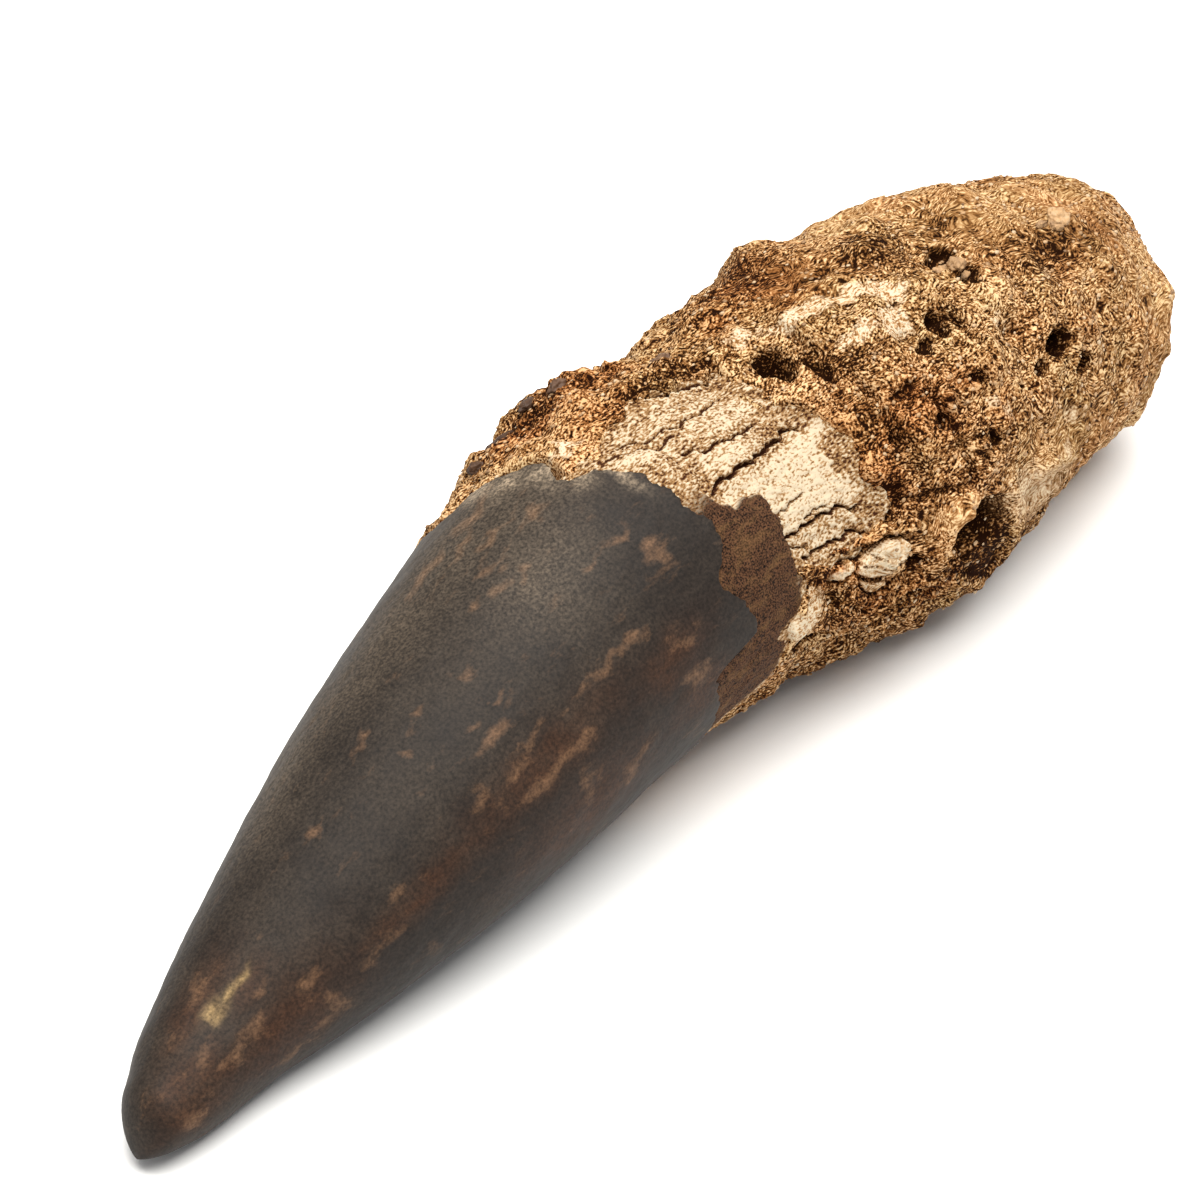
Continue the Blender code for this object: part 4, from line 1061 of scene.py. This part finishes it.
class FOSSIL_OT_stones(bpy.types.Operator):
    """Loose grains and pebbles that stand proud of the sandstone"""

    bl_idname = "fossil.stones"
    bl_label = "Grains and pebbles"

    def execute(self, context):
        sizes, colours = context.scene.fossil_sizes, context.scene.fossil_colours
        depth = sizes.crust_depth / MM
        material = stone_material(colours)
        pick = random.Random(GRAIN_SEED)
        grains = []
        for _ in range(sizes.grain_count):
            half = sizes.grain_size / MM / 2 * pick.uniform(*GRAIN_SIZES)
            at_x, at_angle = pick.uniform(GRAINS_FROM, GRAINS_TO), pick.uniform(-180, 180)
            long, high = half * pick.uniform(*GRAIN_LENGTHS), half * pick.uniform(*GRAIN_HEIGHTS)
            grains.append((at_x, at_angle, long, half, high, pick.uniform(*GRAIN_TONES)))
        x, angle = np.array([grain[:2] for grain in grains]).T
        shown = bare_distance(x, angle) < -GRAINS_OFF_DENTINE
        shown &= x > through(ENAMEL_EDGE, angle) + GRAINS_OFF_ENAMEL
        shown &= to_points(x, angle, half_width(x))[:, 2] > GRAINS_ABOVE * MM
        grains = [grain for grain, show in zip(grains, shown) if show]
        add_piece(stones_mesh("sand_grains", grains, GRAIN_DETAIL, depth, GRAIN_LUMPINESS), material)
        add_piece(stones_mesh("pebbles", STONES, PEBBLE_DETAIL, depth, PEBBLE_LUMPINESS), material)
        return {"FINISHED"}


class FOSSIL_OT_stage(bpy.types.Operator):
    """White floor, soft light from above and the camera"""

    bl_idname = "fossil.stage"
    bl_label = "Stage"

    def execute(self, context):
        mesh = bpy.data.meshes.new("floor")
        corners = [(-FLOOR_HALF, -FLOOR_HALF, 0), (FLOOR_HALF, -FLOOR_HALF, 0), (FLOOR_HALF, FLOOR_HALF, 0),
                   (-FLOOR_HALF, FLOOR_HALF, 0)]
        mesh.from_pydata(corners, [], [(0, 1, 2, 3)])
        mesh.materials.append(floor_material(context.scene.fossil_colours))
        floor = bpy.data.objects.new("floor", mesh)
        bpy.context.collection.objects.link(floor)
        floor.location.z = -FLOOR_DROP * MM

        target = Vector([(at - origin) * MM for at, origin in zip(CAMERA_TARGET, (ORIGIN_X, ORIGIN_Y, 0))])
        azimuth, elevation = math.radians(CAMERA_AZIMUTH), math.radians(CAMERA_ELEVATION)
        right = Vector((math.cos(azimuth), math.sin(azimuth), 0))
        ahead = Vector((-math.sin(azimuth), math.cos(azimuth), 0))
        up = Vector((0, 0, 1))
        back = up * math.sin(elevation) - ahead * math.cos(elevation)
        camera = bpy.data.objects.new("camera", bpy.data.cameras.new("camera"))
        bpy.context.collection.objects.link(camera)
        camera.location = target + back * CAMERA_DISTANCE * MM
        camera.rotation_euler = back.to_track_quat("Z", "Y").to_euler()
        camera.data.lens = CAMERA_LENS
        camera.data.sensor_width = CAMERA_SENSOR
        camera.data.clip_start = CAMERA_NEAR
        context.scene.camera = camera

        lamp = bpy.data.lights.new("key light", "AREA")
        lamp.size, lamp.energy, lamp.color = LAMP_SIZE, LAMP_WATTS, linear(LAMP_COLOUR)[:3]
        holder = bpy.data.objects.new("key light", lamp)
        bpy.context.collection.objects.link(holder)
        holder.location = right * LAMP_RIGHT + up * LAMP_UP + ahead * LAMP_AHEAD
        holder.rotation_euler = holder.location.to_track_quat("Z", "Y").to_euler()

        world = bpy.data.worlds.new("white room")
        world.use_nodes = True
        world.node_tree.nodes["Background"].inputs["Color"].default_value = linear(ROOM_COLOUR)
        world.node_tree.nodes["Background"].inputs["Strength"].default_value = ROOM_STRENGTH
        context.scene.world = world
        context.scene.view_settings.view_transform = "Standard"
        return {"FINISHED"}


class FOSSIL_PT_panel(bpy.types.Panel):
    """Lists the steps and the settings they read"""

    bl_idname = "FOSSIL_PT_panel"
    bl_label = "Fossil tooth"
    bl_space_type = "VIEW_3D"
    bl_region_type = "UI"
    bl_category = "Fossil tooth"

    def draw(self, context):
        for step in STEPS:
            self.layout.operator(step.bl_idname)
        for settings in (context.scene.fossil_sizes, context.scene.fossil_colours):
            box = self.layout.box()
            for name in settings.__annotations__:
                box.prop(settings, name)


STEPS = (FOSSIL_OT_stage, FOSSIL_OT_enamel, FOSSIL_OT_dentine, FOSSIL_OT_sandstone, FOSSIL_OT_stones)
CLASSES = (FossilSizes, FossilColours) + STEPS + (FOSSIL_PT_panel,)


def register():
    for kind in CLASSES:
        bpy.utils.register_class(kind)
    bpy.types.Scene.fossil_sizes = bpy.props.PointerProperty(type=FossilSizes)
    bpy.types.Scene.fossil_colours = bpy.props.PointerProperty(type=FossilColours)


def unregister():
    del bpy.types.Scene.fossil_colours
    del bpy.types.Scene.fossil_sizes
    for kind in reversed(CLASSES):
        bpy.utils.unregister_class(kind)


def main():
    register()
    bpy.ops.fossil.stage()
    bpy.ops.fossil.enamel()
    bpy.ops.fossil.dentine()
    bpy.ops.fossil.sandstone()
    bpy.ops.fossil.stones()


if __name__ == "__main__":
    main()
